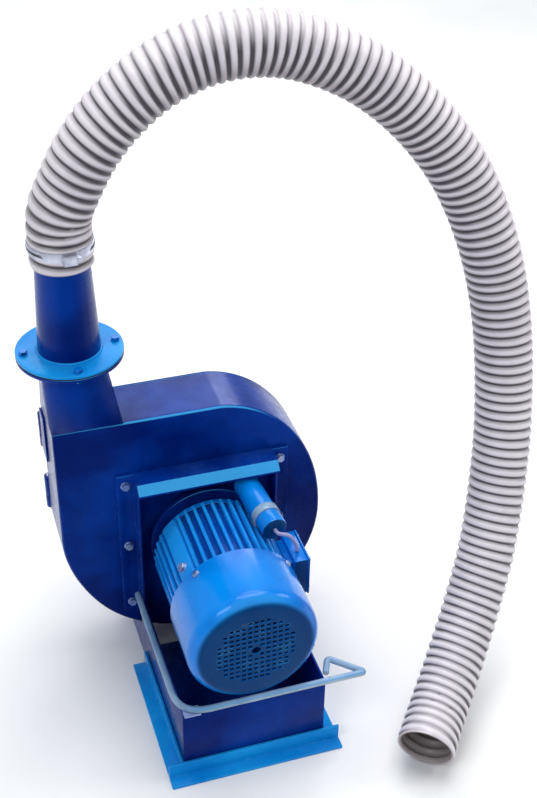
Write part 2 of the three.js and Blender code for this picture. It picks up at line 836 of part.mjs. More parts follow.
function buildRotor() {
  const bore = rodY(motor.shaftRadius + gap, -10, casing.depth);
  const holes = [];
  for (let i = 0; i < hammer.count; i += 1) {
    const [x, z] = pinPlace(i);
    holes.push(rodY(rotor.pinRadius + gap, 0, casing.depth, x, z));
  }
  const hub = rodY(rotor.hubRadius, rotor.hubFront, rotor.hubRear);
  const discRear = rotor.discFront + rotor.disc;
  const disc = rodY(rotor.discRadius, rotor.discFront, discRear, 0, axisHeight, round);
  const blades = [];
  const { hubRadius, bladeRoot, bladeTip, hubFront, discFront } = rotor;
  const halfBlade = rotor.blade / 2;
  for (let i = 0; i < rotor.blades; i += 1) {
    const blade = box(
      hubRadius - bladeRoot, bladeTip, hubFront, discFront + 1, -halfBlade, halfBlade,
    );
    blades.push(blade.rotateY((i * 2 * Math.PI) / rotor.blades).translate(0, 0, axisHeight));
  }
  add('blower_impeller', cut(join(hub, disc, ...blades), bore, ...holes), 'castIron');

  const { ringInner, ringOuter, ringFront } = rotor;
  const ring = ringProfile(ringInner, ringOuter, ringFront, ringFront + rotor.ring);
  add('rotor_end_ring', cut(turnedY(ring), ...holes), 'castIron');

  const { front, rear, halfWidth, length, eye } = hammer;
  for (let i = 0; i < hammer.count; i += 1) {
    const [x, z] = pinPlace(i);
    const pin = rodY(rotor.pinRadius, rotor.pinFront, rotor.pinRear, x, z);
    add(`hammer_pin_${i + 1}`, pin, 'steel');
    const bar = box(x - halfWidth, x + halfWidth, front, rear, z - length, z);
    const blank = join(bar, rodY(eye, front, rear, x, z));
    add(`hammer_${i + 1}`, cut(blank, rodY(rotor.pinRadius + gap, 0, casing.depth, x, z)), 'castIron');
  }
}

// ---------------------------------------------------------------- rear door and feed
const doorFace = backFace + gap;
const doorRear = doorFace + door.plate;
const hingeY = backFace + door.hingeBehind;

function knobPlace(angle) {
  const [x, rise] = polar(door.knobCircle, angle);
  return [x, axisHeight + rise];
}

function buildDoor() {
  const plate = alongY(casingShape(door.inset), doorFace, doorRear);
  const feed = rodY(door.feedHole, 0, 2 * doorRear, 0, axisHeight, round);
  const studHoles = door.knobAngles.map((angle) => {
    const [x, z] = knobPlace(angle);
    return rodY(door.studRadius + gap, 0, 2 * doorRear, x, z);
  });
  add('rear_door', cut(plate, feed, ...studHoles), 'blue');

  buildHinge('upper', axisHeight + door.strapHeights[0], sideBracket);
  buildHinge('lower', axisHeight + door.strapHeights[1], backBracket);
  door.knobAngles.forEach((angle, i) => {
    add(`door_knob_${i + 1}`, doorKnob(...knobPlace(angle)), 'blackPlastic');
  });
}

// Bracket leaf on the casing's left wall, with an ear back to the hinge.
function sideBracket(low, seatTop, leafTop) {
  const face = casing.left - gap;
  const back = face - door.bracket;
  return [
    box(back, face, backFace - door.bracketReach, backFace, low, leafTop),
    box(back, face, backFace - 1, hingeY, low, seatTop),
    box(back, door.hingeX, hingeY - 2, hingeY + 2, low, seatTop),
  ];
}

// Bracket leaf on the margin of the back plate beside the door.
function backBracket(low, seatTop) {
  const leafRear = doorFace + door.bracket;
  const inner = casing.left + door.inset - 2 * gap;
  return [
    box(casing.left, inner, doorFace, leafRear, low, seatTop),
    box(door.hingeX - 2, door.hingeX + 2, leafRear - 1, hingeY, low, seatTop),
  ];
}

function buildHinge(name, middle, bracketPieces) {
  const { hingeX, knuckle, pin } = door;
  const half = door.strapWidth / 2;
  const [low, seatTop, top] = [middle - half - door.bracketBelow, middle - half - gap, middle + half];
  const strapFront = doorRear + gap;
  const strap = box(
    hingeX, door.strapEnd, strapFront, strapFront + door.strap, middle - half, top,
  );
  const eye = rodZ(knuckle, middle - half, top, hingeX, hingeY);
  const pinHole = rodZ(pin + gap, 0, 2 * middle, hingeX, hingeY);
  add(`${name}_hinge_strap`, cut(join(strap, eye), pinHole), 'blue');

  const pieces = bracketPieces(low, seatTop, middle + door.bracketAbove);
  const seat = rodZ(knuckle, low, seatTop, hingeX, hingeY);
  add(`${name}_hinge_bracket`, cut(join(...pieces, seat), pinHole), 'blue');
  add(`${name}_hinge_pin`, rodZ(pin, low + 1, top + 2, hingeX, hingeY), 'steel');
}

function doorKnob(x, z) {
  const { studRadius, collar, knobLobes, knobRadius, knobWaist, knobWidth } = door;
  const neck = doorRear + gap;
  const stud = rodY(studRadius, doorFace + gap, neck + collar, x, z);
  const washer = rodY(studRadius + collar, neck, neck + collar + 1, x, z);
  const corners = Array.from({ length: 2 * knobLobes }, (_, k) => {
    const [dx, dz] = polar(k % 2 ? knobRadius * knobWaist : knobRadius, (k * 180) / knobLobes);
    return [x + dx, z + dz];
  });
  const grip = alongY(polygon(corners), neck + collar, neck + collar + knobWidth);
  return join(stud, washer, grip);
}

function buildFeed() {
  const { half, sheet } = chute;
  const front = doorRear + gap;
  const rear = front + chute.reach;
  const [top, bottom, rearBottom] = [chute.top, chute.bottom, chute.rearBottom].map((z) => z + axisHeight);
  const gateBottom = top - gate.sheet - gap;
  const outside = alongX(polygon([
    [front, bottom],
    [rear, rearBottom],
    [rear, top],
    [front, top],
  ]), -half, half);
  const hollow = alongX(polygon([
    [front - 1, bottom + sheet],
    [rear - sheet, rearBottom + sheet],
    [rear - sheet, top + 1],
    [front - 1, top + 1],
  ]), -half + sheet, half - sheet);
  const slot = box(-half + sheet, half - sheet, rear - 2 * sheet, rear + 1, gateBottom, top + 1);
  add('inlet_chute', cut(outside, hollow, slot), 'blue');

  const gateHalf = half - sheet - gap;
  const gateRear = rear + gate.grip;
  const leaf = box(-gateHalf, gateHalf, front + gap, gateRear, gateBottom + gap, top);
  const lip = box(
    -gateHalf, gateHalf, gateRear - gate.sheet, gateRear, gateBottom - gate.grip, top,
  );
  add('slide_gate', join(leaf, lip), 'steel');

  const floor = top + gap;
  const roofZ = floor + hopper.height;
  const deep = front + hopper.rear;
  const funnel = (inset, overrun) => tapered(
    [-half + inset, half - inset, front + inset, rear - inset],
    [-hopper.half + inset, hopper.half - inset, front + inset, deep - inset],
    floor - overrun,
    roofZ + overrun,
  );
  add('feed_hopper', cut(funnel(0, 0), funnel(hopper.sheet, 0.1)), 'blue');
}

// ---------------------------------------------------------------- base
function buildBase() {
  const { half, front, sheet, angleLeg, angleUp, angle } = base;
  const rear = casing.depth + base.rearBeyond;
  const height = baseHeight;
  const wallFront = front + sheet + gap;
  const wallRear = mountFront - gap;
  const nearest = half - sheet - (casing.scrollRadius - casing.right);
  const underCasing = axisHeight - Math.sqrt(casing.scrollRadius ** 2 - nearest ** 2) - gap;
  const floorHalf = half - sheet - gap;
  const wall = box(-half, half, front, front + sheet, 0, height);
  const floor = box(-floorHalf, floorHalf, front + 1, wallRear, 0, sheet);
  add('base_front_wall', join(wall, floor), 'blue');
  const sideRear = rear - sheet - gap;
  const side = polygon([
    [wallFront, 0],
    [sideRear, 0],
    [sideRear, underCasing],
    [wallRear, underCasing],
    [wallRear, height],
    [wallFront, height],
  ]);
  add('base_left_wall', alongX(side, -half, -half + sheet), 'blue');
  add('base_right_wall', alongX(side, half - sheet, half), 'blue');
  add('base_rear_wall', box(-half, half, rear - sheet, rear, 0, base.rearWall), 'blue');

  const outer = half + gap + angleLeg;
  const profile = (face, out) => polygon([
    [face, 0],
    [face - out * angleLeg, 0],
    [face - out * angleLeg, angle],
    [face - out * angle, angle],
    [face - out * angle, angleUp],
    [face, angleUp],
  ]);
  add('front_foot_angle', alongX(profile(front - gap, 1), -outer, outer), 'blue');
  add('left_foot_angle', alongY(profile(-half - gap, 1), front, base.angleRear), 'blue');
  add('right_foot_angle', alongY(profile(half + gap, -1), front, base.angleRear), 'blue');
}

function buildBar() {
  const { radius, rear, corner, tipBend, loopBack, loopInset, lap } = bar;
  const height = baseHeight + radius + gap;
  const x = base.half + radius + gap;
  const y = base.front - radius - gap;
  const tip = base.half + bar.tipBeyond;
  const path = new THREE.CurvePath();
  const at = (px, py) => new THREE.Vector3(px, py, height);
  const stops = [
    { point: at(-x, rear), bend: 0 },
    { point: at(-x, y), bend: corner },
    { point: at(tip, y), bend: tipBend },
    { point: at(tip - loopInset, y + loopBack), bend: tipBend },
    { point: at(x - 2, y + bar.returnBack), bend: 0 },
  ];
  let last = stops[0].point;
  for (let i = 1; i < stops.length; i += 1) {
    const { point, bend } = stops[i];
    const next = stops[i + 1]?.point ?? point;
    const before = point.clone().lerp(last, bend / Math.max(point.distanceTo(last), bend + 1));
    const after = point.clone().lerp(next, bend / Math.max(point.distanceTo(next), bend + 1));
    path.add(new THREE.LineCurve3(last, before));
    if (bend > 0) path.add(new THREE.QuadraticBezierCurve3(before, point, after));
    last = after;
  }
  const rod = sweep(path, radius, bar.sides, bar.steps);
  const [gx, gy, gz] = bar.gusset;
  const gussetX = bar.gussetInset - x;
  const gussetY = y - gz;
  const gussetZ = height - radius - lap;
  const gusset = box(gussetX, gussetX + gx, gussetY, gussetY + gy, gussetZ, gussetZ + gz);
  const wallTop = baseHeight + gap;
  const wallCut = box(-base.half - gap, base.half + gap, base.front - gap, 0, 0, wallTop);
  add('bar_handle', cut(join(rod, gusset), wallCut), 'motorBlue');
}

buildCasing();
buildOutlet();
buildHose();
buildMount();
buildMotor();
buildTerminalBox();
buildCapacitor();
buildRotor();
buildDoor();
buildFeed();
buildBase();
buildBar();

// The footprint's centre goes to the origin; the hose doesn't count.
const footprint = new THREE.Box3();
machine.updateMatrixWorld(true);
machine.traverse((piece) => {
  if (piece.isMesh && piece.name !== 'discharge_hose') footprint.expandByObject(piece, true);
});
const middle = footprint.getCenter(new THREE.Vector3());
machine.position.set(-middle.x, -middle.y, 0);

export default machine;
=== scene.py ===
import json
import math

import bmesh
import bpy
import numpy as np
from mathutils import Matrix, Vector

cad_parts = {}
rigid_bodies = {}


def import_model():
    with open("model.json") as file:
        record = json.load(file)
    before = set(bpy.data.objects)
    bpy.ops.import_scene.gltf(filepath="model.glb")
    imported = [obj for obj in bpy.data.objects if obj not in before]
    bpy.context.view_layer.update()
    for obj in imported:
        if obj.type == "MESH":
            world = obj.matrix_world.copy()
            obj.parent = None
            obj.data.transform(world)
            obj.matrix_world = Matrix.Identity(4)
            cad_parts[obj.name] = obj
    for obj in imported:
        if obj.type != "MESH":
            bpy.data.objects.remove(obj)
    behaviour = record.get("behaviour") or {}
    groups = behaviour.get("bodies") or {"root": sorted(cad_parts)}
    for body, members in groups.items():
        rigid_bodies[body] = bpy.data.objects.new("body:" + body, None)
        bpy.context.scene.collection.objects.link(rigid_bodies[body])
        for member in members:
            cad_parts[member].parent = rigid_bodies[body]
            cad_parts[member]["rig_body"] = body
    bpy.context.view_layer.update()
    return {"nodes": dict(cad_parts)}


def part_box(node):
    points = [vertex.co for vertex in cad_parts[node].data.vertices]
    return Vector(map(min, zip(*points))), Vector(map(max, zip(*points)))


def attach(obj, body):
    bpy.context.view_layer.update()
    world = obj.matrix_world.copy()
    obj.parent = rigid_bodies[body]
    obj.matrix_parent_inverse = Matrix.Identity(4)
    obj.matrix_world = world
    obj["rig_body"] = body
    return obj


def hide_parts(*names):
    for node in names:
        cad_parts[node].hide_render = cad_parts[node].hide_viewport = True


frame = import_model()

scene = bpy.context.scene


# places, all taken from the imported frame
def middleOf(node):
    low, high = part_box(node)
    return (low + high) / 2


axis = middleOf("motor_shaft")
outletAxis = middleOf("taper_pipe")
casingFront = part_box("scroll_front_plate")[0].y


# a point measured from the motor axis where it crosses the front of the casing
def at(x, y, rise):
    return Vector((axis.x + x, casingFront + y, axis.z + rise))


# camera
camera = {
    "place": (-0.3360, -1.36165, 1.4358),
    "azimuth": -18.33,
    "down": 35.19,
    "roll": 0.87,
    "lens": 59.98,
}


def makeCamera():
    a, e, r = (math.radians(camera[key]) for key in ("azimuth", "down", "roll"))
    back = Vector((math.sin(a) * math.cos(e), -math.cos(a) * math.cos(e), math.sin(e)))
    right = Vector((math.cos(a), math.sin(a), 0))
    up = back.cross(right)
    across = math.cos(r) * right + math.sin(r) * up
    upright = -math.sin(r) * right + math.cos(r) * up
    data = bpy.data.cameras.new("camera")
    data.lens = camera["lens"]
    data.sensor_width = 36
    data.clip_start = 0.05
    made = bpy.data.objects.new("camera", data)
    scene.collection.objects.link(made)
    made.matrix_world = Matrix.Translation(camera["place"]) @ Matrix(
        (across, upright, back)
    ).transposed().to_4x4()
    scene.camera = made


makeCamera()
print("camera ready")


# mesh tools
def addObject(name, mesh):
    made = bpy.data.objects.new(name, mesh)
    scene.collection.objects.link(made)
    return made


def meshFrom(name, points, faces):
    mesh = bpy.data.meshes.new(name)
    mesh.from_pydata([tuple(p) for p in points], [], faces)
    mesh.validate()
    return mesh


def outward(mesh):
    work = bmesh.new()
    work.from_mesh(mesh)
    bmesh.ops.recalc_face_normals(work, faces=work.faces)
    work.to_mesh(mesh)
    work.free()
    return mesh


def smooth(mesh, angle=35):
    for face in mesh.polygons:
        face.use_smooth = True
    mesh.set_sharp_from_angle(angle=math.radians(angle))


# turns what the modifiers show into the object's own mesh
def settle(made):
    depsgraph = bpy.context.evaluated_depsgraph_get()
    mesh = bpy.data.meshes.new_from_object(made.evaluated_get(depsgraph))
    made.modifiers.clear()
    made.data = mesh
    return made


def finishPiece(made, material, body, nodes=(), angle=35):
    smooth(made.data, angle)
    made.data.materials.clear()
    made.data.materials.append(material)
    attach(made, body)
    if nodes:
        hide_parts(*nodes)
    return made


def addPiece(name, mesh, material, nodes=(), angle=40, body="root"):
    return finishPiece(addObject(name, mesh), material, body, nodes, angle)


# what bmesh holds, as a mesh
def kept(work, name):
    mesh = bpy.data.meshes.new(name)
    work.to_mesh(mesh)
    work.free()
    return mesh


def joinRings(work, rings):
    for first, second in zip(rings, rings[1:]):
        for i in range(len(first)):
            j = (i + 1) % len(first)
            work.faces.new((first[i], first[j], second[j], second[i]))


# a copy of a CAD node with its edges rounded
def refined(node, name, material, bevel, segments=3, angle=35):
    source = frame["nodes"][node]
    work = bmesh.new()
    work.from_mesh(source.data)
    bmesh.ops.remove_doubles(work, verts=work.verts, dist=1e-6)
    bmesh.ops.dissolve_limit(
        work, angle_limit=math.radians(0.6), verts=work.verts, edges=work.edges
    )
    made = addObject(name, kept(work, name))
    rounding = made.modifiers.new("rounding", "BEVEL")
    rounding.width = bevel
    rounding.segments = segments
    rounding.limit_method = "ANGLE"
    rounding.angle_limit = math.radians(35)
    rounding.use_clamp_overlap = True
    settle(made)
    return finishPiece(made, material, source["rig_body"], [node], angle)


# a closed profile of (radius, distance along the axis) turned about an axis through origin
def turned(profile, sides, origin, along="Y"):
    work = bmesh.new()
    rings = []
    for i in range(sides):
        turn = 2 * math.pi * i / sides
        ring = []
        for radius, distance in profile:
            u, v = onCircle(radius, turn)
            offset = (u, distance, v) if along == "Y" else (u, v, distance)
            ring.append(work.verts.new(Vector(origin) + Vector(offset)))
        rings.append(ring)
    joinRings(work, [*rings, rings[0]])
    bmesh.ops.remove_doubles(work, verts=work.verts, dist=1e-7)
    bmesh.ops.recalc_face_normals(work, faces=work.faces)
    return kept(work, "turned")


def onCircle(radius, angle):
    return radius * math.cos(angle), radius * math.sin(angle)


cornerSteps = 3  # straight pieces round each soft corner


def arcPoints(cx, cy, radius, start, end, steps):
    angles = np.radians(np.linspace(start, end, steps + 1))
    return [(cx + radius * math.cos(a), cy + radius * math.sin(a)) for a in angles]


# the same closed profile with each of its corners rounded
def softProfile(corners, rounding):
    result = []
    count = len(corners)
    for i, corner in enumerate(corners):
        here = Vector(corner)
        before = Vector(corners[i - 1]) - here
        after = Vector(corners[(i + 1) % count]) - here
        reach = min(rounding, before.length * 0.45, after.length * 0.45)
        start = here + before.normalized() * reach
        end = here + after.normalized() * reach
        for t in np.linspace(0, 1, cornerSteps + 1):
            result.append(tuple((1 - t) ** 2 * start + 2 * t * (1 - t) * here + t * t * end))
    return result


# a plate: outline(inset) gives its edge, and profile its (inset, distance) from front to back;
# holes are (x, y, radius)
def slab(outline, profile, holes=(), origin=Vector(), along="Y", sides=48):
    work = bmesh.new()

    def ringOf(points, distance):
        return [
            work.verts.new(
                Vector(origin)
                + Vector((x, distance, y) if along == "Y" else (x, y, distance))
            )
            for x, y in points
        ]

    def rim(ring):
        return [work.edges.get(pair) for pair in zip(ring, ring[1:] + ring[:1])]

    rings = [ringOf(outline(inset), distance) for inset, distance in profile]
    joinRings(work, rings)
    caps = [rim(rings[0]), rim(rings[-1])]
    near, far = profile[0][1], profile[-1][1]
    chamfer = min(0.0004, abs(far - near) / 6)
    step = chamfer if far > near else -chamfer
    turns = np.linspace(0, 2 * math.pi, sides, endpoint=False)
    for x, y, radius in holes:
        bore = [
            ringOf([(x + r * math.cos(t), y + r * math.sin(t)) for t in turns], distance)
            for r, distance in (
                (radius + chamfer, near),
                (radius, near + step),
                (radius, far - step),
                (radius + chamfer, far),
            )
        ]
        joinRings(work, bore)
        caps[0] += rim(bore[0])
        caps[1] += rim(bore[-1])
    for edges in caps:
        bmesh.ops.triangle_fill(work, edges=edges, use_beauty=True)
    bmesh.ops.dissolve_limit(
        work, angle_limit=math.radians(0.1), verts=work.verts, edges=work.edges
    )
    bmesh.ops.recalc_face_normals(work, faces=work.faces)
    return kept(work, "slab")


# profile of a plate whose two edges are rounded by the same amount
def roundEdge(thickness, rounding, start):
    corner = arcPoints(0, 0, rounding, 90, 0, cornerSteps)
    front = [(rounding - x, start + rounding - y) for x, y in corner]
    corner = arcPoints(0, 0, rounding, 0, 90, cornerSteps)
    return front + [(rounding - x, start + thickness - rounding + y) for x, y in corner]


def circleOutline(radius, sides=128):
    turns = np.linspace(0, 2 * math.pi, sides, endpoint=False)
    return lambda inset: [onCircle(radius - inset, turn) for turn in turns]


# centripetal Catmull-Rom line through the points, in even steps
def smoothLine(points, step):
    p = np.array(points, float)
    p = np.vstack([2 * p[0] - p[1], p, 2 * p[-1] - p[-2]])
    dense = []
    for a, b, c, d in zip(p[:-3], p[1:-2], p[2:-1], p[3:]):
        t1 = max(np.linalg.norm(b - a) ** 0.5, 1e-6)
        t2 = t1 + max(np.linalg.norm(c - b) ** 0.5, 1e-6)
        t3 = t2 + max(np.linalg.norm(d - c) ** 0.5, 1e-6)
        t = np.linspace(t1, t2, 40, endpoint=False)[:, None]
        ab = (t1 - t) / t1 * a + t / t1 * b
        bc = (t2 - t) / (t2 - t1) * b + (t - t1) / (t2 - t1) * c
        cd = (t3 - t) / (t3 - t2) * c + (t - t2) / (t3 - t2) * d
        abc = (t2 - t) / t2 * ab + t / t2 * bc
        bcd = (t3 - t) / (t3 - t1) * bc + (t - t1) / (t3 - t1) * cd
        dense.append((t2 - t) / (t2 - t1) * abc + (t - t1) / (t2 - t1) * bcd)
    dense = np.vstack([*dense, p[-2:-1]])
    run = np.r_[0, np.cumsum(np.linalg.norm(np.diff(dense, axis=0), axis=1))]
    count = max(2, int(round(run[-1] / step)) + 1)
    even = np.linspace(0, run[-1], count)
    line = np.stack([np.interp(even, run, dense[:, k]) for k in range(3)], 1)
    return line, even


# tangent and two unit sides at each point, carried along without twisting
def framesAlong(line):
    tangent = np.gradient(line, axis=0)
    tangent /= np.linalg.norm(tangent, axis=1)[:, None]
    first = np.cross(tangent[0], (0, 1, 0) if abs(tangent[0][1]) < 0.9 else (1, 0, 0))
    side = np.zeros_like(line)
    side[0] = first / np.linalg.norm(first)
    for i in range(1, len(line)):
        moved = side[i - 1] - tangent[i] * (side[i - 1] @ tangent[i])
        side[i] = moved / np.linalg.norm(moved)
    return tangent, side, np.cross(tangent, side)


def tubeFaces(rings, sides):
    turns = [(k, (k + 1) % sides) for k in range(sides)]
    return [
        (a + k, a + n, a + sides + n, a + sides + k)
        for a in range(0, (rings - 1) * sides, sides)
        for k, n in turns
    ]


# a round rod along a line, with softly rounded ends
def rod(points, radius, sides, step):
    line = smoothLine(points, step)[0] if step else np.array(points, float)
    tangent, side, other = framesAlong(line)
    rings = []
    soft = radius * 0.3
    for i, sign in ((0, -1), (len(line) - 1, 1)):
        caps = []
        for k in range(4):
            turn = math.pi / 2 * k / 3
            shrink = radius - soft * (1 - math.cos(turn))
            caps.append((i, shrink, sign * soft * (math.sin(turn) - 1)))
        rings.append(caps if sign > 0 else caps[::-1])
    order = rings[0] + [(i, radius, 0) for i in range(1, len(line) - 1)] + rings[1]
    points, faces = [], tubeFaces(len(order), sides)
    for i, r, shift in order:
        for k in range(sides):
            a = 2 * math.pi * k / sides
            points.append(
                line[i] + tangent[i] * shift + r * (math.cos(a) * side[i] + math.sin(a) * other[i])
            )
    faces.append(tuple(range(sides))[::-1])
    faces.append(tuple(range((len(order) - 1) * sides, len(order) * sides)))
    return outward(meshFrom("rod", points, faces))


# material tools
def put(tree, kind, inputs=None, **settings):
    made = tree.nodes.new(kind)
    for key, value in settings.items():
        setattr(made, key, value)
    for key, value in (inputs or {}).items():
        if isinstance(value, bpy.types.NodeSocket):
            tree.links.new(value, made.inputs[key])
        else:
            made.inputs[key].default_value = value
    return made


def noise(tree, where, scale, detail=3, roughness=0.55):
    inputs = {"Vector": where, "Scale": scale, "Detail": detail, "Roughness": roughness}
    return put(tree, "ShaderNodeTexNoise", inputs).outputs["Fac"]


def remap(tree, value, low, high, toLow=0.0, toHigh=1.0):
    inputs = {
        "Value": value, "From Min": low, "From Max": high, "To Min": toLow, "To Max": toHigh
    }
    made = put(tree, "ShaderNodeMapRange", inputs, interpolation_type="SMOOTHSTEP")
    return made.outputs["Result"]


def sums(tree, operation, a, b=0.0):
    return put(tree, "ShaderNodeMath", {0: a, 1: b}, operation=operation).outputs[0]


def times(tree, a, b):
    return sums(tree, "MULTIPLY", a, b)


def mixed(tree, share, a, b):
    return put(tree, "ShaderNodeMix", {0: share, 6: a, 7: b}, data_type="RGBA").outputs[2]


def dotted(tree, a, b):
    made = put(tree, "ShaderNodeVectorMath", {0: a, 1: b}, operation="DOT_PRODUCT")
    return made.outputs["Value"]


def newMaterial(name):
    material = bpy.data.materials.new(name)
    material.use_nodes = True
    tree = material.node_tree
    shader = next(n for n in tree.nodes if n.type == "BSDF_PRINCIPLED")
    where = put(tree, "ShaderNodeTexCoord").outputs["Object"]
    return material, tree, shader, where


socketNames = {
    "colour": "Base Color",
    "roughness": "Roughness",
    "metal": "Metallic",
    "normal": "Normal",
    "coat": "Coat Weight",
    "coatRoughness": "Coat Roughness",
    "coatTint": "Coat Tint",
    "tint": "Specular Tint",
    "specular": "Specular IOR Level",
    "subsurface": "Subsurface Weight",
}


def plug(tree, shader, **inputs):
    for key, value in inputs.items():
        socket = shader.inputs[socketNames[key]]
        if isinstance(value, bpy.types.NodeSocket):
            tree.links.new(value, socket)
        else:
            socket.default_value = value


def bumped(tree, height, strength, distance, below=None):
    inputs = {"Height": height, "Strength": strength, "Distance": distance}
    if below is not None:
        inputs["Normal"] = below
    return put(tree, "ShaderNodeBump", inputs).outputs["Normal"]


# 1 on edges, in patches, 0 elsewhere; paint lightens them as a painted highlight, plastic greys
# them as scuffs
def edgeMask(tree, where, reach, low, high):
    rounded = put(tree, "ShaderNodeBevel", {"Radius": reach}, samples=4).outputs[0]
    flat = put(tree, "ShaderNodeNewGeometry").outputs["Normal"]
    edge = remap(tree, dotted(tree, rounded, flat), 0.99, 0.86)
    patches = remap(tree, noise(tree, where, 55, 4), low, high)
    return times(tree, edge, patches)


# sRGB 0-255 to a linear colour
def colourOf(red, green, blue):
    parts = [c / 255 for c in (red, green, blue)]
    return [c / 12.92 if c <= 0.04045 else ((c + 0.055) / 1.055) ** 2.4 for c in parts] + [1]


tones = {  # what settles on, wears or glints off the finishes, with painted shade and a painted highlight, sRGB
    # painted shade in the grooves between the motor fins
    "grime_and_shade": (6, 74, 164),
    "glare": (70, 180, 240),
    "shade": (2, 24, 70),
    "dust": (120, 150, 178),
    "rust": (88, 74, 62),
    "scuff": (120, 122, 126),
    "coat": (190, 225, 255),
    "reflection": (40, 120, 255),
}
# the hose's own tones and dust, then painted shade for its underside, grooves and bore
hoseTones = {
    "dull": (220, 212, 221),
    "pale": (233, 226, 232),
    "dust": (176, 164, 170),
    "under": (132, 117, 116),
    "groove": (44, 36, 46),
    "inside": (112, 98, 92),
}


# sprayed enamel with orange peel, dust on top, and a painted highlight on thin edges and on faces
# turned up and forward; painted shade darkens what faces away from the casing, and fins are the
# radii between which painted shade fills the grooves
def paint(
    name, deep, bright, edgeHighlight, dust=0.06, gloss=0.22, coat=0.05, sheen=0.35, shade=0.0, fins=None
):
    material, tree, shader, where = newMaterial(name)
    deep, bright, edgeHighlight = (colourOf(*tone) for tone in (deep, bright, edgeHighlight))
    broad = remap(tree, noise(tree, where, 7, 4), 0.34, 0.66)
    fine = noise(tree, where, 48, 4)
    colour = mixed(tree, broad, deep, bright)
    colour = mixed(tree, remap(tree, fine, 0.3, 0.8, 0.0, 0.25), colour, deep)
    # painted shade in the grooves between the fins, by distance from the motor axis
    if fins:
        spot = put(tree, "ShaderNodeSeparateXYZ", {0: where}).outputs
        across = sums(tree, "SUBTRACT", spot["X"], axis.x)
        rise = sums(tree, "SUBTRACT", spot["Z"], axis.z)
        squares = [times(tree, part, part) for part in (across, rise)]
        away = sums(tree, "SQRT", sums(tree, "ADD", *squares))
        colour = mixed(tree, remap(tree, away, *fins), colourOf(*tones["grime_and_shade"]), colour)
    # painted highlight on faces turned up and forward, as strong as sheen says
    facing = put(tree, "ShaderNodeNewGeometry").outputs["Normal"]
    slope = dotted(tree, facing, (0, -0.7071, 0.7071))
    glare = remap(tree, slope, 0.86, 0.985, 0.0, sheen)
    colour = mixed(tree, glare, colour, colourOf(*tones["glare"]))
    # painted shade on faces turned to the front, as strong as shade says; they also lose coat and
    # specular
    parts = put(tree, "ShaderNodeSeparateXYZ", {0: facing}).outputs
    end = remap(tree, parts["Y"], -0.8, -0.99)
    shaded = times(tree, end, shade)
    colour = mixed(tree, shaded, colour, colourOf(*tones["shade"]))
    level = remap(tree, parts["Z"], 0.55, 1.0, 0.15, 1.0)
    patches = remap(tree, noise(tree, where, 26, 6, 0.7), 0.45, 0.8, 0.0, dust)
    settled = times(tree, level, patches)
    colour = mixed(tree, settled, colour, colourOf(*tones["dust"]))
    # painted highlight along the edges, in patches
    edges = edgeMask(tree, where, 0.0012, 0.5, 0.72)
    colour = mixed(tree, times(tree, edges, 0.75), colour, edgeHighlight)
    scuff = remap(tree, noise(tree, where, 110, 5, 0.7), 0.62, 0.78)
    rough = remap(tree, fine, 0.3, 0.75, gloss, gloss + 0.12)
    rough = sums(tree, "ADD", rough, times(tree, settled, 1.4))
    rough = sums(tree, "ADD", rough, times(tree, scuff, 0.12))
    peel = bumped(tree, noise(tree, where, 210, 2), 0.10, 0.0006)
    normal = bumped(tree, noise(tree, where, 14, 2), 0.18, 0.004, peel)
    coat = times(tree, sums(tree, "SUBTRACT", 1.0, end), coat)
    plug(
        tree, shader, colour=colour, roughness=rough, normal=normal, coat=coat,
        coatRoughness=0.12, coatTint=colourOf(*tones["coat"]),
        tint=colourOf(*tones["reflection"]), specular=remap(tree, end, 0.0, 1.0, 0.42, 0.2),
    )
    return material


# plated or machined steel with fine grain and dull patches
def bareMetal(name, dark, light, roughness, wear=0.3):
    material, tree, shader, where = newMaterial(name)
    patches = remap(tree, noise(tree, where, 34, 5), 0.35, 0.7)
    colour = mixed(tree, patches, colourOf(*light), colourOf(*dark))
    spots = remap(tree, noise(tree, where, 300, 4, 0.7), 0.58, 0.72, 0.0, wear)
    colour = mixed(tree, spots, colour, colourOf(*tones["rust"]))
    dull = remap(tree, noise(tree, where, 90, 4), 0.3, 0.75, roughness, roughness + 0.2)
    normal = bumped(tree, noise(tree, where, 700, 3), 0.2, 0.0003)
    plug(tree, shader, colour=colour, roughness=dull, metal=0.92, normal=normal)
    return material


# moulded plastic or rubber with a fine texture and light scuffs
def moulded(name, dark, light, roughness):
    material, tree, shader, where = newMaterial(name)
    patches = remap(tree, noise(tree, where, 40, 4), 0.35, 0.7)
    colour = mixed(tree, patches, colourOf(*dark), colourOf(*light))
    edges = times(tree, edgeMask(tree, where, 0.0008, 0.45, 0.7), 0.35)
    colour = mixed(tree, edges, colour, colourOf(*tones["scuff"]))
    dull = remap(tree, noise(tree, where, 120, 3), 0.3, 0.7, roughness, roughness + 0.15)
    normal = bumped(tree, noise(tree, where, 420, 3), 0.25, 0.0004)
    plug(tree, shader, colour=colour, roughness=dull, normal=normal)
    return material
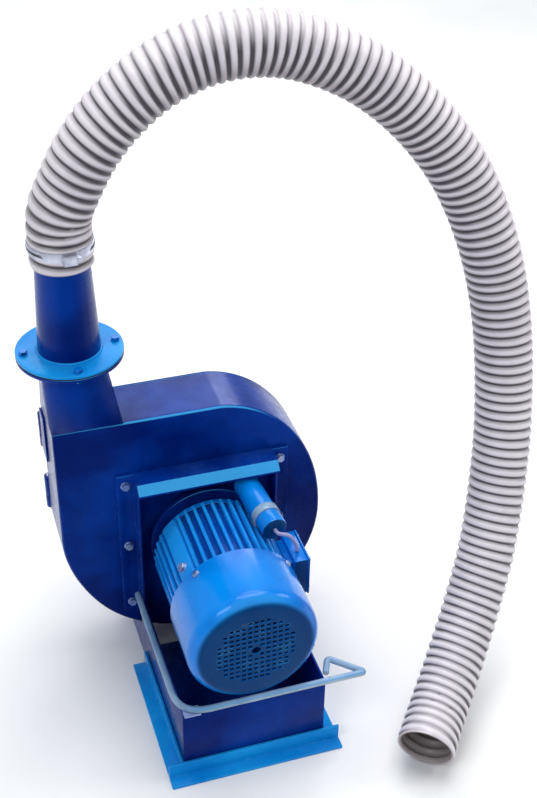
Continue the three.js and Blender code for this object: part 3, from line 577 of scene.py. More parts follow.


# ribbed plastic: pale rounded ribs, patches of dust, faint yellowing; painted shade in the
# grooves, on the underside and inside the bore
def hosePlastic(name):
    material, tree, shader, where = newMaterial(name)
    groove, inside = (
        put(
            tree, "ShaderNodeAttribute", attribute_type="GEOMETRY", attribute_name=name
        ).outputs["Fac"]
        for name in ("groove", "inside")
    )
    dull, pale, dust, under, dark, within = (colourOf(*tone) for tone in hoseTones.values())
    broad = remap(tree, noise(tree, where, 9, 4), 0.3, 0.7)
    colour = mixed(tree, broad, dull, pale)
    grime_and_shade = remap(tree, noise(tree, where, 60, 5, 0.65), 0.4, 0.8, 0.0, 0.2)
    colour = mixed(tree, grime_and_shade, colour, dust)
    facing = put(tree, "ShaderNodeNewGeometry").outputs["Normal"]
    up = put(tree, "ShaderNodeSeparateXYZ", {0: facing}).outputs["Z"]
    # painted shade in the grooves, deeper where the hose faces sideways or down
    deep = remap(tree, groove, 0.04, 0.58)
    deep = times(tree, deep, remap(tree, up, 0.1, 0.9, 0.95, 0.32))
    # painted shade on the underside
    colour = mixed(tree, remap(tree, up, 0.1, -0.7, 0.0, 0.75), colour, under)
    colour = mixed(tree, deep, colour, dark)
    # painted shade inside the bore
    colour = mixed(tree, times(tree, inside, 0.75), colour, within)
    rough = remap(tree, noise(tree, where, 90, 4), 0.3, 0.7, 0.36, 0.55)
    normal = bumped(tree, noise(tree, where, 260, 3), 0.18, 0.0005)
    plug(
        tree, shader, colour=colour, roughness=rough, normal=normal, subsurface=0.05,
        coat=0.1, coatRoughness=0.3,
    )
    shader.inputs["Subsurface Radius"].default_value = (0.004, 0.003, 0.003)
    return material


casingPaint = paint("casing_enamel", (1, 24, 98), (2, 56, 152), (50, 125, 205), sheen=0.8)
# the casing's enamel made lighter and more cyan for pieces whose tops catch the sky: painted
# highlight
litCasingPaint = paint("lit_casing_enamel", (8, 132, 214), (28, 166, 238), (140, 215, 248), dust=0.08)
# shade: painted shade on every face turned to the front, the cowl's end most of all
motorPaint = paint(
    "motor_enamel", (0, 114, 204), (3, 148, 236), (90, 190, 240), gloss=0.17, coat=0.45,
    shade=0.85,
)
# fins sets where painted shade fills the grooves between the fins
finPaint = paint(
    "fin_enamel", (14, 128, 218), (34, 158, 240), (100, 195, 240), fins=(0.0735, 0.0790)
)
# pale grey-blue enamel whose paleness is partly a painted highlight, standing in for the sky's
# reflection along the rod
barPaint = paint(
    "bar_enamel", (112, 140, 160), (184, 200, 208), (235, 238, 240), dust=0.2, coat=0.6
)
zinc = bareMetal("zinc_plate", (168, 172, 190), (214, 216, 232), 0.28)
zincPaint = bareMetal("painted_bolt", (110, 140, 190), (182, 196, 230), 0.34)
steel = bareMetal("rolled_steel", (120, 124, 130), (176, 180, 186), 0.34)
iron = bareMetal("cast_iron", (62, 62, 64), (98, 98, 100), 0.5, wear=0.6)
rubber = moulded("gasket_rubber", (22, 22, 24), (40, 40, 42), 0.7)
black = moulded("black_moulding", (20, 21, 23), (38, 39, 42), 0.42)
leadSkin = moulded("lead_sheath", (150, 150, 196), (188, 188, 226), 0.4)
hosePaint = hosePlastic("hose_plastic")
print("materials ready")


# node trees for what repeats
def newTree(name, inputs):
    tree = bpy.data.node_groups.new(name, "GeometryNodeTree")
    tree.is_modifier = True
    tree.interface.new_socket("Geometry", in_out="INPUT", socket_type="NodeSocketGeometry")
    tree.interface.new_socket("Geometry", in_out="OUTPUT", socket_type="NodeSocketGeometry")
    for label, kind, value in (*inputs, ("Material", "Material", None)):
        socket = tree.interface.new_socket(label, in_out="INPUT", socket_type="NodeSocket" + kind)
        if value is not None:
            socket.default_value = value
    start = tree.nodes.new("NodeGroupInput")
    end = tree.nodes.new("NodeGroupOutput")
    return tree, start.outputs, end.inputs


# runs a tree on an object, with its inputs set, and keeps the result as plain mesh
def grow(made, tree, **values):
    modifier = made.modifiers.new(tree.name, "NODES")
    modifier.node_group = tree
    for item in tree.interface.items_tree:
        if item.item_type == "SOCKET" and item.in_out == "INPUT" and item.name in values:
            modifier[item.identifier] = values[item.name]
    return settle(made)


def attribute(tree, name, kind="FLOAT"):
    return put(
        tree, "GeometryNodeInputNamedAttribute", {"Name": name}, data_type=kind
    ).outputs["Attribute"]


# every tree ends in real geometry that carries the material it was given
def closeTree(tree, start, end, geometry):
    real = put(tree, "GeometryNodeRealizeInstances", {"Geometry": geometry}).outputs[0]
    named = put(
        tree, "GeometryNodeSetMaterial", {"Geometry": real, "Material": start["Material"]}
    )
    tree.links.new(named.outputs[0], end[0])
    return tree


# presses ribs into a tube that knows how far along and around each vertex is
def ribTree():
    tree, start, end = newTree(
        "ribs", [("Pitch", "Float", 0.012), ("Depth", "Float", 0.0026), ("Crest", "Float", 0.6)]
    )
    turns = sums(tree, "DIVIDE", attribute(tree, "along"), start["Pitch"])
    phase = sums(tree, "ADD", turns, attribute(tree, "around"))
    wave = sums(tree, "SINE", times(tree, phase, math.pi))
    crest = sums(tree, "POWER", sums(tree, "ABSOLUTE", wave), start["Crest"])
    groove = sums(tree, "SUBTRACT", 1.0, crest)
    lifted = times(tree, groove, attribute(tree, "lift"))
    drop = times(tree, lifted, start["Depth"])
    shade = sums(tree, "ABSOLUTE", lifted)
    normal = put(tree, "GeometryNodeInputNormal").outputs["Normal"]
    offset = put(
        tree, "ShaderNodeVectorMath", {0: normal, "Scale": drop}, operation="SCALE"
    ).outputs["Vector"]
    stored = put(
        tree, "GeometryNodeStoreNamedAttribute",
        {"Geometry": start["Geometry"], "Name": "groove", "Value": shade},
        data_type="FLOAT", domain="POINT",
    ).outputs[0]
    moved = put(tree, "GeometryNodeSetPosition", {"Geometry": stored, "Offset": offset})
    return closeTree(tree, start, end, moved.outputs[0])


# puts a template on each point, facing the way the point says, each at its own turn
def scatterTree():
    tree, start, end = newTree(
        "scatter",
        [("Template", "Object", None), ("Turn", "Float", 2 * math.pi), ("Seed", "Int", 7)],
    )
    facing = attribute(tree, "facing", "FLOAT_VECTOR")
    aligned = put(
        tree, "FunctionNodeAlignRotationToVector", {"Vector": facing}, axis="Z"
    ).outputs["Rotation"]
    limits = {"Min": 0.0, "Max": start["Turn"], "Seed": start["Seed"]}
    turn = put(tree, "FunctionNodeRandomValue", limits, data_type="FLOAT")
    turnValue = next(o for o in turn.outputs if o.enabled and o.type == "VALUE")
    spin = put(
        tree, "FunctionNodeAxisAngleToRotation", {"Axis": (0, 0, 1), "Angle": turnValue}
    ).outputs["Rotation"]
    both = put(
        tree, "FunctionNodeRotateRotation", {"Rotation": aligned, "Rotate By": spin},
        rotation_space="LOCAL",
    ).outputs["Rotation"]
    template = put(
        tree, "GeometryNodeObjectInfo", {"Object": start["Template"]}
    ).outputs["Geometry"]
    placed = put(
        tree, "GeometryNodeInstanceOnPoints",
        {"Points": start["Geometry"], "Instance": template, "Rotation": both},
    )
    return closeTree(tree, start, end, placed.outputs[0])


# cuts a grid of square holes, inside a circle, through a sheet that faces along Y
def punchTree():
    tree, start, end = newTree(
        "punch",
        [
            ("Centre", "Vector", (0, 0, 0)),
            ("Pitch", "Float", 0.008),
            ("Width", "Float", 0.005),
            ("Height", "Float", 0.005),
            ("Reach", "Float", 0.045),
            ("Clear", "Float", 0.009),
        ],
    )
    cells, cutLength = 16, 0.02
    span = times(tree, start["Pitch"], float(cells))
    grid = put(
        tree, "GeometryNodeMeshGrid",
        {"Size X": span, "Size Y": span, "Vertices X": cells + 1, "Vertices Y": cells + 1},
    ).outputs["Mesh"]
    spot = put(tree, "GeometryNodeInputPosition").outputs["Position"]
    away = put(tree, "ShaderNodeVectorMath", {0: spot}, operation="LENGTH").outputs["Value"]
    outside, inside = (
        put(
            tree, "FunctionNodeCompare", {"A": away, "B": start[limit]}, data_type="FLOAT",
            operation=operation,
        ).outputs["Result"]
        for limit, operation in (("Reach", "GREATER_THAN"), ("Clear", "LESS_THAN"))
    )
    unused = put(
        tree, "FunctionNodeBooleanMath", {0: outside, 1: inside}, operation="OR"
    ).outputs[0]
    points = put(
        tree, "GeometryNodeDeleteGeometry", {"Geometry": grid, "Selection": unused},
        domain="POINT",
    ).outputs[0]
    sides = {"X": start["Width"], "Y": start["Height"], "Z": cutLength}
    size = put(tree, "ShaderNodeCombineXYZ", sides).outputs[0]
    cutter = put(tree, "GeometryNodeMeshCube", {"Size": size}).outputs["Mesh"]
    placed = put(
        tree, "GeometryNodeInstanceOnPoints", {"Points": points, "Instance": cutter}
    ).outputs[0]
    stood = put(
        tree, "GeometryNodeTransform",
        {"Geometry": placed, "Translation": start["Centre"], "Rotation": (math.pi / 2, 0, 0)},
    ).outputs[0]
    tools = put(tree, "GeometryNodeRealizeInstances", {"Geometry": stood}).outputs[0]
    punched = put(
        tree, "GeometryNodeMeshBoolean", {"Mesh 1": start["Geometry"], "Mesh 2": tools},
        operation="DIFFERENCE", solver="EXACT",
    ).outputs[0]
    return closeTree(tree, start, end, punched)


ribs, scatter, punch = ribTree(), scatterTree(), punchTree()


templates = []
bolts = {  # across the flats, head height, washer radius, washer height
    "flange": (0.0095, 0.0044, 0.0062, 0.0010),
    "mount": (0.0098, 0.0046, 0.0066, 0.0012),
    "cowl": (0.0085, 0.0028, 0.0052, 0.0008),
    "pad": (0.010, 0.0042, 0.0068, 0.0012),
    "lid": (0.006, 0.002, 0.0036, 0.0005),
    "hinge": (0.010, 0.0042, 0.0066, 0.0012),
}


# places is a list of (point, direction that the template's +Z faces)
def scattered(name, template, places, material, body, turn=2 * math.pi, seed=7):
    mesh = bpy.data.meshes.new(name)
    mesh.from_pydata([tuple(point) for point, _ in places], [], [])
    store = mesh.attributes.new("facing", "FLOAT_VECTOR", "POINT")
    for item, (_, way) in zip(store.data, places):
        item.vector = way
    made = addObject(name, mesh)
    grow(made, scatter, Template=template, Turn=turn, Seed=seed, Material=material)
    return finishPiece(made, material, body)


# a bolt head on its washer, standing on Z = 0
def hexBolt(name, across, height, washer, washerHeight, dome=False):
    work = bmesh.new()
    r = across / math.sqrt(3)
    sides, washerSides = (24 if dome else 6), 28
    if dome:
        rings = [(r * math.cos(t), height * math.sin(t)) for t in np.linspace(0, 1.35, 7)]
    else:
        rings = [(r, 0.0), (r, height * 0.82), (r * 0.9, height)]
    plate = [
        (washer, 0.0),
        (washer, washerHeight * 0.7),
        (washer - washerHeight * 0.3, washerHeight),
    ]

    def loop(radius, count, z):
        return [
            work.verts.new((*onCircle(radius, a), z))
            for a in (2 * math.pi * k / count for k in range(count))
        ]

    head = [loop(q, sides, washerHeight + z) for q, z in rings]
    disc = [loop(q, washerSides, z) for q, z in plate]
    for stack in (head, disc):
        joinRings(work, stack)
        work.faces.new(stack[0][::-1])
        work.faces.new(stack[-1])
    if not dome:
        corners = set(sum(head, []))
        edges = [
            e for e in work.edges if e.calc_face_angle(0) > 0.5 and corners >= set(e.verts)
        ]
        bmesh.ops.bevel(
            work, geom=edges, offset=across * 0.035, segments=2, affect="EDGES",
            clamp_overlap=True,
        )
    return kept(work, name)


# a hidden object that only lends its shape
def templateOf(name, mesh):
    made = addObject(name, mesh)
    made.hide_render = True
    templates.append(made)
    return made


def bolted(name, size, places, material, seed, body="root", dome=False):
    template = f"{size}_bolt_template"
    bolt = templateOf(template, hexBolt(template, *bolts[size], dome))
    scattered(name, bolt, places, material, body, seed=seed)


# hose
hose = {
    "radius": 0.040,
    "bore": 0.0349,
    "pitch": 0.0137,
    "depth": 0.0036,
    "crest": 0.95,
    "sides": 44,
    "step": 0.0015,
    "start": 0.637,
    "seen": 0.17,  # how far the open end is modelled inside
    "clamp": (0.018, 0.034),  # flattened under the clamp band
}
# middle of the hose, from the outlet pipe's axis; heights are from the ground
hoseRoute = [
    (0, 0, 0.678),
    (0, 0, 0.690),
    (0.003, -0.001, 0.708),
    (0.014, -0.003, 0.734),
    (0.038, -0.005, 0.779),
    (0.073, -0.005, 0.821),
    (0.116, -0.006, 0.856),
    (0.165, -0.006, 0.879),
    (0.218, -0.009, 0.890),
    (0.272, -0.012, 0.887),
    (0.325, -0.018, 0.871),
    (0.375, -0.025, 0.845),
    (0.420, -0.033, 0.810),
    (0.459, -0.041, 0.769),
    (0.493, -0.050, 0.722),
    (0.519, -0.058, 0.672),
    (0.539, -0.068, 0.619),
    (0.554, -0.077, 0.564),
    (0.563, -0.088, 0.508),
    (0.567, -0.101, 0.452),
    (0.567, -0.115, 0.396),
    (0.563, -0.132, 0.340),
    (0.554, -0.151, 0.286),
    (0.541, -0.173, 0.235),
    (0.523, -0.198, 0.186),
    (0.499, -0.225, 0.142),
    (0.471, -0.256, 0.104),
    (0.440, -0.291, 0.074),
    (0.406, -0.330, 0.052),
    (0.371, -0.374, 0.0405),
]


def makeHose():
    route = [(0, 0, hose["start"]), (0, 0, 0.657), *hoseRoute]
    points = [(outletAxis.x + x, outletAxis.y + y, z) for x, y, z in route]
    line, even = smoothLine(points, hose["step"])
    _, side, other = framesAlong(line)
    total = float(even[-1])
    sides = hose["sides"]
    last = len(line) - 1
    innerStart = int(0.041 / hose["step"])
    innerEnd = last - int(hose["seen"] / hose["step"])
    # each ring: point on the line, radius, how far the ribs press in, 1 where it is inside
    order = [(i, hose["bore"], 0.0, 1.0) for i in range(innerStart, -1, -4)]
    order += [(0, hose["radius"] - 0.0016, 0.0, 0.0)]
    for i in range(1, last):
        s = even[i]
        low, high = hose["clamp"]
        flat = 0.25 if low < s < high else 1.0
        lift = flat * min(1.0, s / 0.004, (total - s) / 0.002)
        order.append((i, hose["radius"], -lift, 0.0))
    order += [(last, hose["radius"] - 0.0012, 0.0, 0.0)]
    order += [(last, hose["bore"] + 0.0008, 0.0, 1.0)]
    for i in range(last - 2, innerEnd, -1):
        order.append((i, hose["bore"], min(1.0, (total - even[i]) / 0.006), 1.0))
    turns = np.linspace(0, 2 * math.pi, sides, endpoint=False)
    ring = np.stack([np.cos(turns), np.sin(turns)], 1)
    points = np.vstack([
        line[i] + radius * (ring[:, :1] * side[i] + ring[:, 1:] * other[i])
        for i, radius, _, _ in order
    ])
    mesh = bpy.data.meshes.new("discharge_hose_ribbed")
    mesh.from_pydata(points.tolist(), [], tubeFaces(len(order), sides))
    values = {
        "along": np.repeat([even[i] for i, *_ in order], sides),
        "around": np.tile(np.arange(sides) / sides, len(order)),
        "lift": np.repeat([o[2] for o in order], sides),
        "inside": np.repeat([o[3] for o in order], sides),
    }
    for name, data in values.items():
        store = mesh.attributes.new(name, "FLOAT", "POINT")
        store.data.foreach_set("value", data.astype(np.float32))
    made = addObject("discharge_hose_ribbed", mesh)
    grow(
        made, ribs, Pitch=hose["pitch"], Depth=hose["depth"], Crest=hose["crest"],
        Material=hosePaint,
    )
    finishPiece(made, hosePaint, "root", ["discharge_hose", "hose_cuff"], angle=80)
    print("hose length", round(total, 4))


makeHose()
print("hose ready")

# casing
casing = {
    "left": -0.199,
    "right": 0.172,
    "top": 0.204,
    "flatTopEnd": 0.026,
    "outletInner": -0.105,
    "radius": 0.180,
    "end": 215,
    "leftFoot": 0.020,
    "sheet": 0.003,
    "front": 0.005,
    "back": 0.004,
    "depth": 0.088,
    "rolled": 0.004,
    "shaftHole": 0.030,
    "accessHole": 0.128,
    "doorInset": 0.014,
    "inlet": 0.042,
    "studCircle": 0.147,
    "studHole": 0.0048,
    "steps": 44,
}


def bezier(p0, p1, p2, p3, steps):
    t = np.linspace(0, 1, steps + 1)[1:, None]
    p0, p1, p2, p3 = (np.array(p, float) for p in (p0, p1, p2, p3))
    return list(
        (1 - t) ** 3 * p0 + 3 * t * (1 - t) ** 2 * p1 + 3 * t * t * (1 - t) * p2 + t**3 * p3
    )


def scrollRun():
    c = casing
    centre = c["right"] - c["radius"]
    end = math.radians(c["end"])
    dx, dz = onCircle(c["radius"], end)
    tx, tz = onCircle(c["radius"] / 4, end - math.pi / 2)
    shoulder = 0.5 * (c["flatTopEnd"] + c["right"])
    run = [np.array((c["outletInner"], c["top"])), np.array((c["flatTopEnd"], c["top"]))]
    upper, lower = (shoulder, c["top"] * 0.97), (c["right"], c["top"] * 0.6)
    run += bezier(run[-1], upper, lower, (c["right"], 0), c["steps"])
    for turn in np.radians(np.linspace(0, c["end"] - 360, 2 * c["steps"] + 1)[1:]):
        run.append(np.array(onCircle(c["radius"], turn)) + (centre, 0))
    run += bezier(
        run[-1],
        (centre + dx + tx, dz + tz),
        (c["left"], c["leftFoot"] - c["radius"] / 4.5),
        (c["left"], c["leftFoot"]),
        c["steps"] // 2,
    )
    run.append(np.array((c["left"], c["top"])))
    return np.array(run)


def insetRun(run, distance):
    into = np.vstack([run[1] - run[0], np.diff(run, axis=0)])
    out = np.vstack([np.diff(run, axis=0), run[-1] - run[-2]])
    into /= np.linalg.norm(into, axis=1)[:, None]
    out /= np.linalg.norm(out, axis=1)[:, None]
    normal = np.stack([into[:, 1] + out[:, 1], -into[:, 0] - out[:, 0]], 1)
    normal /= np.linalg.norm(normal, axis=1)[:, None]
    corner = (normal * np.stack([into[:, 1], -into[:, 0]], 1)).sum(1)
    return run + normal * (distance / corner)[:, None]


def casingOutline(extra=0.0):
    run = scrollRun()

    def outline(inset):
        moved = insetRun(run, inset + extra)
        moved[0][1] = moved[-1][1] = casing["top"] - inset - extra
        return [tuple(p) for p in moved]

    return outline


def makeCasing():
    origin = at(0, 0, 0)
    rolled, front = casing["rolled"], casing["front"]
    corner = arcPoints(0, 0, rolled, 90, 0, 8)
    profile = [(rolled - x, rolled - y) for x, y in corner] + [(0.0, front)]
    mesh = slab(casingOutline(), profile, [(0, 0, casing["shaftHole"])], origin)
    addPiece("casing_front", mesh, casingPaint, ["scroll_front_plate"])

    start = casing["depth"] - casing["back"]
    mesh = slab(
        casingOutline(),
        roundEdge(casing["back"], 0.0009, start),
        [(0, 0, casing["accessHole"])],
        origin,
        sides=128,
    )
    addPiece("casing_back", mesh, casingPaint, ["scroll_back_plate"])

    run = scrollRun()
    inner = insetRun(run, casing["sheet"])[::-1]
    band = [tuple(p) for p in np.vstack([run, inner])]
    edges = [(0, front + 0.0002), (0, start - 0.0002)]
    mesh = slab(lambda inset: band, edges, (), origin)
    addPiece("casing_wrapper", mesh, casingPaint, ["scroll_wrapper"])

    low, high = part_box("rear_door")
    thickness = high.y - low.y
    doorStart = low.y - origin.y
    circle, hole = casing["studCircle"], casing["studHole"]
    studs = [(*onCircle(circle, a), hole) for a in np.radians((30, -30))]
    mesh = slab(
        casingOutline(casing["doorInset"]),
        roundEdge(thickness, 0.0012, doorStart),
        [(0, 0, casing["inlet"]), *studs],
        origin,
        sides=64,
    )
    addPiece("door_plate", mesh, casingPaint, ["rear_door"], body="door")


makeCasing()
print("casing ready")

# outlet, flanges, pipe and clamp
outlet = {"flange": 0.069, "bore": 0.039, "boltCircle": 0.059, "hole": 0.004}
pipe = {"bottom": 0.0405, "top": 0.0345, "taperTop": 0.637, "wall": 0.002}
weld = {"wide": 0.0022, "high": 0.0018, "lift": 0.0002, "ripples": 64, "size": 0.0004}
clamp = {
    "radius": 0.0416,
    "screwAt": -86,  # degrees round the pipe, opposite the middle of the slots
    "slot": (0.0009, 0.0062, 0.0003),
    "slots": 33,  # on each side of the middle one
    "spacing": 0.07,
}


def makeOutlet():
    refined("outlet_transition", "outlet_neck", casingPaint, 0.0012, angle=28)
    origin = Vector((outletAxis.x, outletAxis.y, 0))
    ring = outlet["boltCircle"]
    spots = [onCircle(ring, a) for a in np.radians((0, 90, 180, 270))]
    holes = [(0, 0, outlet["bore"])] + [(x, y, outlet["hole"]) for x, y in spots]
    # the upper flange takes the lighter copy of the casing enamel: painted highlight on its top
    plates = [
        ("lower_outlet_flange", "flange_lower", casingPaint, "casing_blue", 0.0007),
        ("outlet_gasket", "flange_gasket", rubber, "rubber", 0.0002),
        ("upper_outlet_flange", "flange_upper", litCasingPaint, "casing_blue", 0.0008),
    ]
    for node, name, material, slot, rounding in plates:
        low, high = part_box(node)
        profile = roundEdge(high.z - low.z, rounding, low.z)
        mesh = slab(circleOutline(outlet["flange"]), profile, holes, origin, "Z", 64)
        addPiece(name, mesh, material, [node])

    low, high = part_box("taper_pipe")
    wall = pipe["wall"]
    profile = [
        (pipe["bottom"], low.z),
        (pipe["bottom"], low.z + 0.0005),
        (pipe["top"], pipe["taperTop"]),
        (pipe["top"], high.z - 0.0008),
        (pipe["top"] - 0.0008, high.z),
        (pipe["top"] - wall, high.z),
        (pipe["top"] - wall, pipe["taperTop"]),
        (pipe["bottom"] - wall, low.z),
    ]
    mesh = turned(profile, 128, origin, "Z")
    addPiece("outlet_pipe", mesh, casingPaint, ["taper_pipe"])

    # weld bead where the pipe meets its flange
    inner = pipe["bottom"] + weld["lift"]
    bead = [
        (inner + weld["wide"] * math.cos(a), low.z + weld["high"] * math.sin(a))
        for a in (2 * math.pi * k / 16 for k in range(16))
    ]
    mesh = rippled(turned(bead, 220, origin, "Z"), origin)
    # the weld takes the lighter copy of the casing enamel: painted highlight
    addPiece("pipe_weld", mesh, litCasingPaint, angle=60)

    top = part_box("upper_outlet_flange")[1].z
    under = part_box("lower_outlet_flange")[0].z
    places = [(origin + Vector((x, y, top)), (0, 0, 1)) for x, y in spots]
    places += [(origin + Vector((x, y, under)), (0, 0, -1)) for x, y in spots]
    bolted("flange_bolts", "flange", places, motorPaint, 3)

    refined("hose_clamp_band", "clamp_band", zinc, 0.0004, 2)
    refined("hose_clamp_screw", "clamp_worm", zinc, 0.0004, 2)
    slot = templateOf("clamp_slot_template", boxMesh(clamp["slot"]))
    middle = origin + Vector((0, 0, middleOf("hose_clamp_band").z))
    places = []
    for k in range(-clamp["slots"], clamp["slots"] + 1):
        a = math.radians(clamp["screwAt"]) + math.pi + k * clamp["spacing"]
        way = Vector((*onCircle(1, a), 0))
        places.append((middle + way * clamp["radius"], way))
    scattered("clamp_slots", slot, places, black, "root", turn=0.0)


# pushes a bead turned about Z in and out like the ripples of a weld
def rippled(mesh, origin):
    for vertex in mesh.vertices:
        way = vertex.co - origin
        way.z = 0
        angle = math.atan2(way.y, way.x)
        wave = weld["size"] * math.sin(angle * weld["ripples"])
        vertex.co += way.normalized() * (wave + 0.0003 * math.sin(angle * 7 + 1))
    return mesh


def boxMesh(size, centre=(0, 0, 0), bevel=0.0):
    work = bmesh.new()
    bmesh.ops.create_cube(work, size=1)
    bmesh.ops.scale(work, vec=size, verts=work.verts)
    bmesh.ops.translate(work, vec=centre, verts=work.verts)
    if bevel:
        bmesh.ops.bevel(work, geom=work.edges[:], offset=bevel, segments=2, affect="EDGES")
    return kept(work, "box")


makeOutlet()
print("outlet ready")

# motor mount
mount = {"boltX": 0.109, "boltRise": 0.105}


def makeMount():
    refined("motor_mount_frame", "mount_frame", casingPaint, 0.0009)
    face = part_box("motor_mount_frame")[1].y - 0.005
    places = [
        (Vector((axis.x + x, face, axis.z + rise)), (0, -1, 0))
        for x in (-mount["boltX"], mount["boltX"])
        for rise in (mount["boltRise"], 0, -mount["boltRise"])
    ]
    bolted("mount_bolts", "mount", places, zincPaint, 11)


makeMount()
print("mount ready")

# motor
cowl = {
    "radius": 0.0875,
    "front": -0.152,
    "rear": -0.2478,
    "sheet": 0.0016,
    "rounding": 0.018,
    "eye": 0.006,
    "pitch": 0.0081,
    "hole": (0.0057, 0.0048),
    "reach": 0.052,
    "clear": 0.0095,  # left whole round the eye
    "screwBack": 0.009,
    "screws": (128, 218, 308, 38),
}
shield = {  # radii of the shield between the motor and the casing
    "bore": 0.0143,
    "rim": 0.080,
    "hub": 0.060,
    "spigot": 0.076,
    "seat": 0.0263,
    "rounding": 0.0015,
    "painted": 0.018,  # how far back it has the casing's darker enamel: painted shade behind the hood
}
pad = {"radius": 0.0818, "turn": 140, "back": -0.128}


# a point that far from the motor axis, at this turn and depth
def polar(radius, degrees, y):
    x, rise = onCircle(radius, math.radians(degrees))
    return at(x, y, rise)


# the same with the direction away from the axis, for a bolt
def outOf(radius, degrees, y):
    return polar(radius, degrees, y), (polar(1, degrees, y) - at(0, y, 0))


def makeMotor():
    origin = at(0, 0, 0)
    refined("finned_motor_frame", "motor_frame", finPaint, 0.0007, 2, 40)

    low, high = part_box("drive_end_shield")
    front, rear = high.y - origin.y, low.y - origin.y
    d = shield
    corners = [
        (d["bore"], front),
        (d["rim"], front),
        (d["rim"], front - 0.011),
        (d["hub"], front - 0.013),
        (d["hub"], rear + 0.009),
        (d["spigot"], rear + 0.008),
        (d["spigot"], rear),
        (d["seat"], rear),
        (d["seat"], rear + 0.016),
        (d["bore"], rear + 0.016),
    ]
    profile = softProfile(corners, d["rounding"])
    mesh = turned(profile, 128, origin)
    made = addPiece(
        "motor_front_shield", mesh, motorPaint, ["drive_end_shield"]
    )
    # the shield nearest the casing takes the casing's darker enamel as painted shade
    made.data.materials.append(casingPaint)
    for face in made.data.polygons:
        if face.center.y > high.y - d["painted"]:
            face.material_index = 1

    c = cowl
    corner = (c["radius"] - c["rounding"], c["rear"] + c["rounding"])
    outer = arcPoints(*corner, c["rounding"], 0, -90, 10)
    inner = arcPoints(*corner, c["rounding"] - c["sheet"], -90, 0, 10)
    profile = [
        (c["radius"], c["front"]),
        *outer,
        (c["eye"], c["rear"]),
        (c["eye"], c["rear"] + c["sheet"]),
        *inner,
        (c["radius"] - c["sheet"], c["front"]),
    ]
    made = addObject("motor_cowl", turned(profile, 128, origin))
    grow(
        made, punch, Centre=at(0, c["rear"], 0), Pitch=c["pitch"], Width=c["hole"][0],
        Height=c["hole"][1], Reach=c["reach"], Clear=c["clear"], Material=motorPaint,
    )
    finishPiece(made, motorPaint, "root", ["fan_cowl"], 40)

    places = [outOf(c["radius"], turn, c["front"] - c["screwBack"]) for turn in c["screws"]]
    bolted("cowl_screws", "cowl", places, zincPaint, 5, dome=True)
    places = [outOf(pad["radius"], pad["turn"], pad["back"])]
    bolted("pad_bolt", "pad", places, zincPaint, 9)
    refined("rear_motor_shield", "motor_rear_shield", motorPaint, 0.0008, 2)


makeMotor()
print("motor ready")

# terminal box, capacitor and the lead between them
lidScrewInset = 0.007
capacitor = {  # near and far are (distance from the axis, turn, depth)
    "near": (0.1006, 49, -0.116),
    "far": (0.1006, 58, -0.016),
    "radius": 0.0175,
    "nose": 0.009,
}
lead = {"radius": 0.0026, "drop": 0.0116, "above": 0.0073, "into": 0.0012}


def makeMotorFittings():
    refined("terminal_box", "terminal_case", motorPaint, 0.0018)
    refined("terminal_box_lid", "terminal_lid", motorPaint, 0.0012)
    refined("cable_gland", "gland", black, 0.0006, 2)
    low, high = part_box("terminal_box_lid")
    inset = lidScrewInset
    places = [
        (Vector((high.x, y, z)), (1, 0, 0))
        for y in (low.y + inset, high.y - inset)
        for z in (low.z + inset, high.z - inset)
    ]
    bolted("lid_screws", "lid", places, zinc, 2, dome=True)

    near, far = polar(*capacitor["near"]), polar(*capacitor["far"])
    length = (far - near).length
    r, nose = capacitor["radius"], capacitor["nose"]
    profile = [
        (0, 0),
        (r - 0.0016, 0),
        (r - 0.0004, 0.0005),
        (r, 0.0016),
        *arcPoints(r - nose, length - nose, nose, 0, 90, 8),
        (0, length),
    ]
    mesh = turned(profile, 64, (0, 0, 0))
    lean = Vector((0, 1, 0)).rotation_difference(far - near).to_matrix().to_4x4()
    mesh.transform(Matrix.Translation(near) @ lean)
    addPiece("run_capacitor", mesh, motorPaint, ["capacitor"])
    refined("capacitor_bracket", "capacitor_strap", barPaint, 0.0003, 2)

    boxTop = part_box("terminal_box")[1].z
    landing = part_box("capacitor_lead")[1].x - lead["radius"]
    route = [
        near + Vector((0, -0.0003, 0)),
        near + Vector((0.002, -0.009, 0)),
        Vector(((near.x + landing) / 2, near.y - 0.016, near.z - 0.001)),
        Vector((landing, near.y - lead["drop"], boxTop + lead["above"])),
        Vector((landing, near.y - lead["drop"], boxTop + lead["into"])),
    ]
    mesh = rod(route, lead["radius"], 20, 0.002)
    addPiece("capacitor_wire", mesh, leadSkin, ["capacitor_lead"], 60)


makeMotorFittings()
print("motor fittings ready")

# base and bar
bar = {
    "radius": 0.0045,
    "rear": -0.014,
    "tip": 0.152,
    "corner": 0.042,
    "bend": 0.007,
    "loopBack": 0.038,
    "loopInset": 0.040,
    "returnBack": 0.013,
}
gusset = {"size": (0.022, 0.016, 0.003), "across": 0.017, "back": 0.005, "rounding": 0.0006}


def makeBase():
    for side in ("front", "left", "right", "rear"):
        refined(f"base_{side}_wall", f"base_{side}", casingPaint, 0.0008, 2)
    # the foot angles take the lighter copy of the casing enamel: painted highlight on their
    # upturned legs
    for side in ("front", "left", "right"):
        refined(f"{side}_foot_angle", f"foot_{side}", litCasingPaint, 0.0008, 2)


# a polyline of (x, y, bend) with each bend turned into a curve
def filleted(stops):
    points = [Vector(stops[0][:2])]
    for i in range(1, len(stops) - 1):
        here = Vector(stops[i][:2])
        bend = stops[i][2]
        before = Vector(stops[i - 1][:2]) - here
        after = Vector(stops[i + 1][:2]) - here
        start = here + before.normalized() * bend
        end = here + after.normalized() * bend
        points += [
            (1 - t) ** 2 * start + 2 * t * (1 - t) * here + t * t * end
            for t in (k / 8 for k in range(9))
        ]
    points.append(Vector(stops[-1][:2]))
    return points


# the same polyline with a point at least every step
def spread(points, step):
    result = [points[0]]
    for a, b in zip(points, points[1:]):
        count = max(1, int(round((b - a).length / step)))
        result += [a.lerp(b, k / count) for k in range(1, count + 1)]
    return result


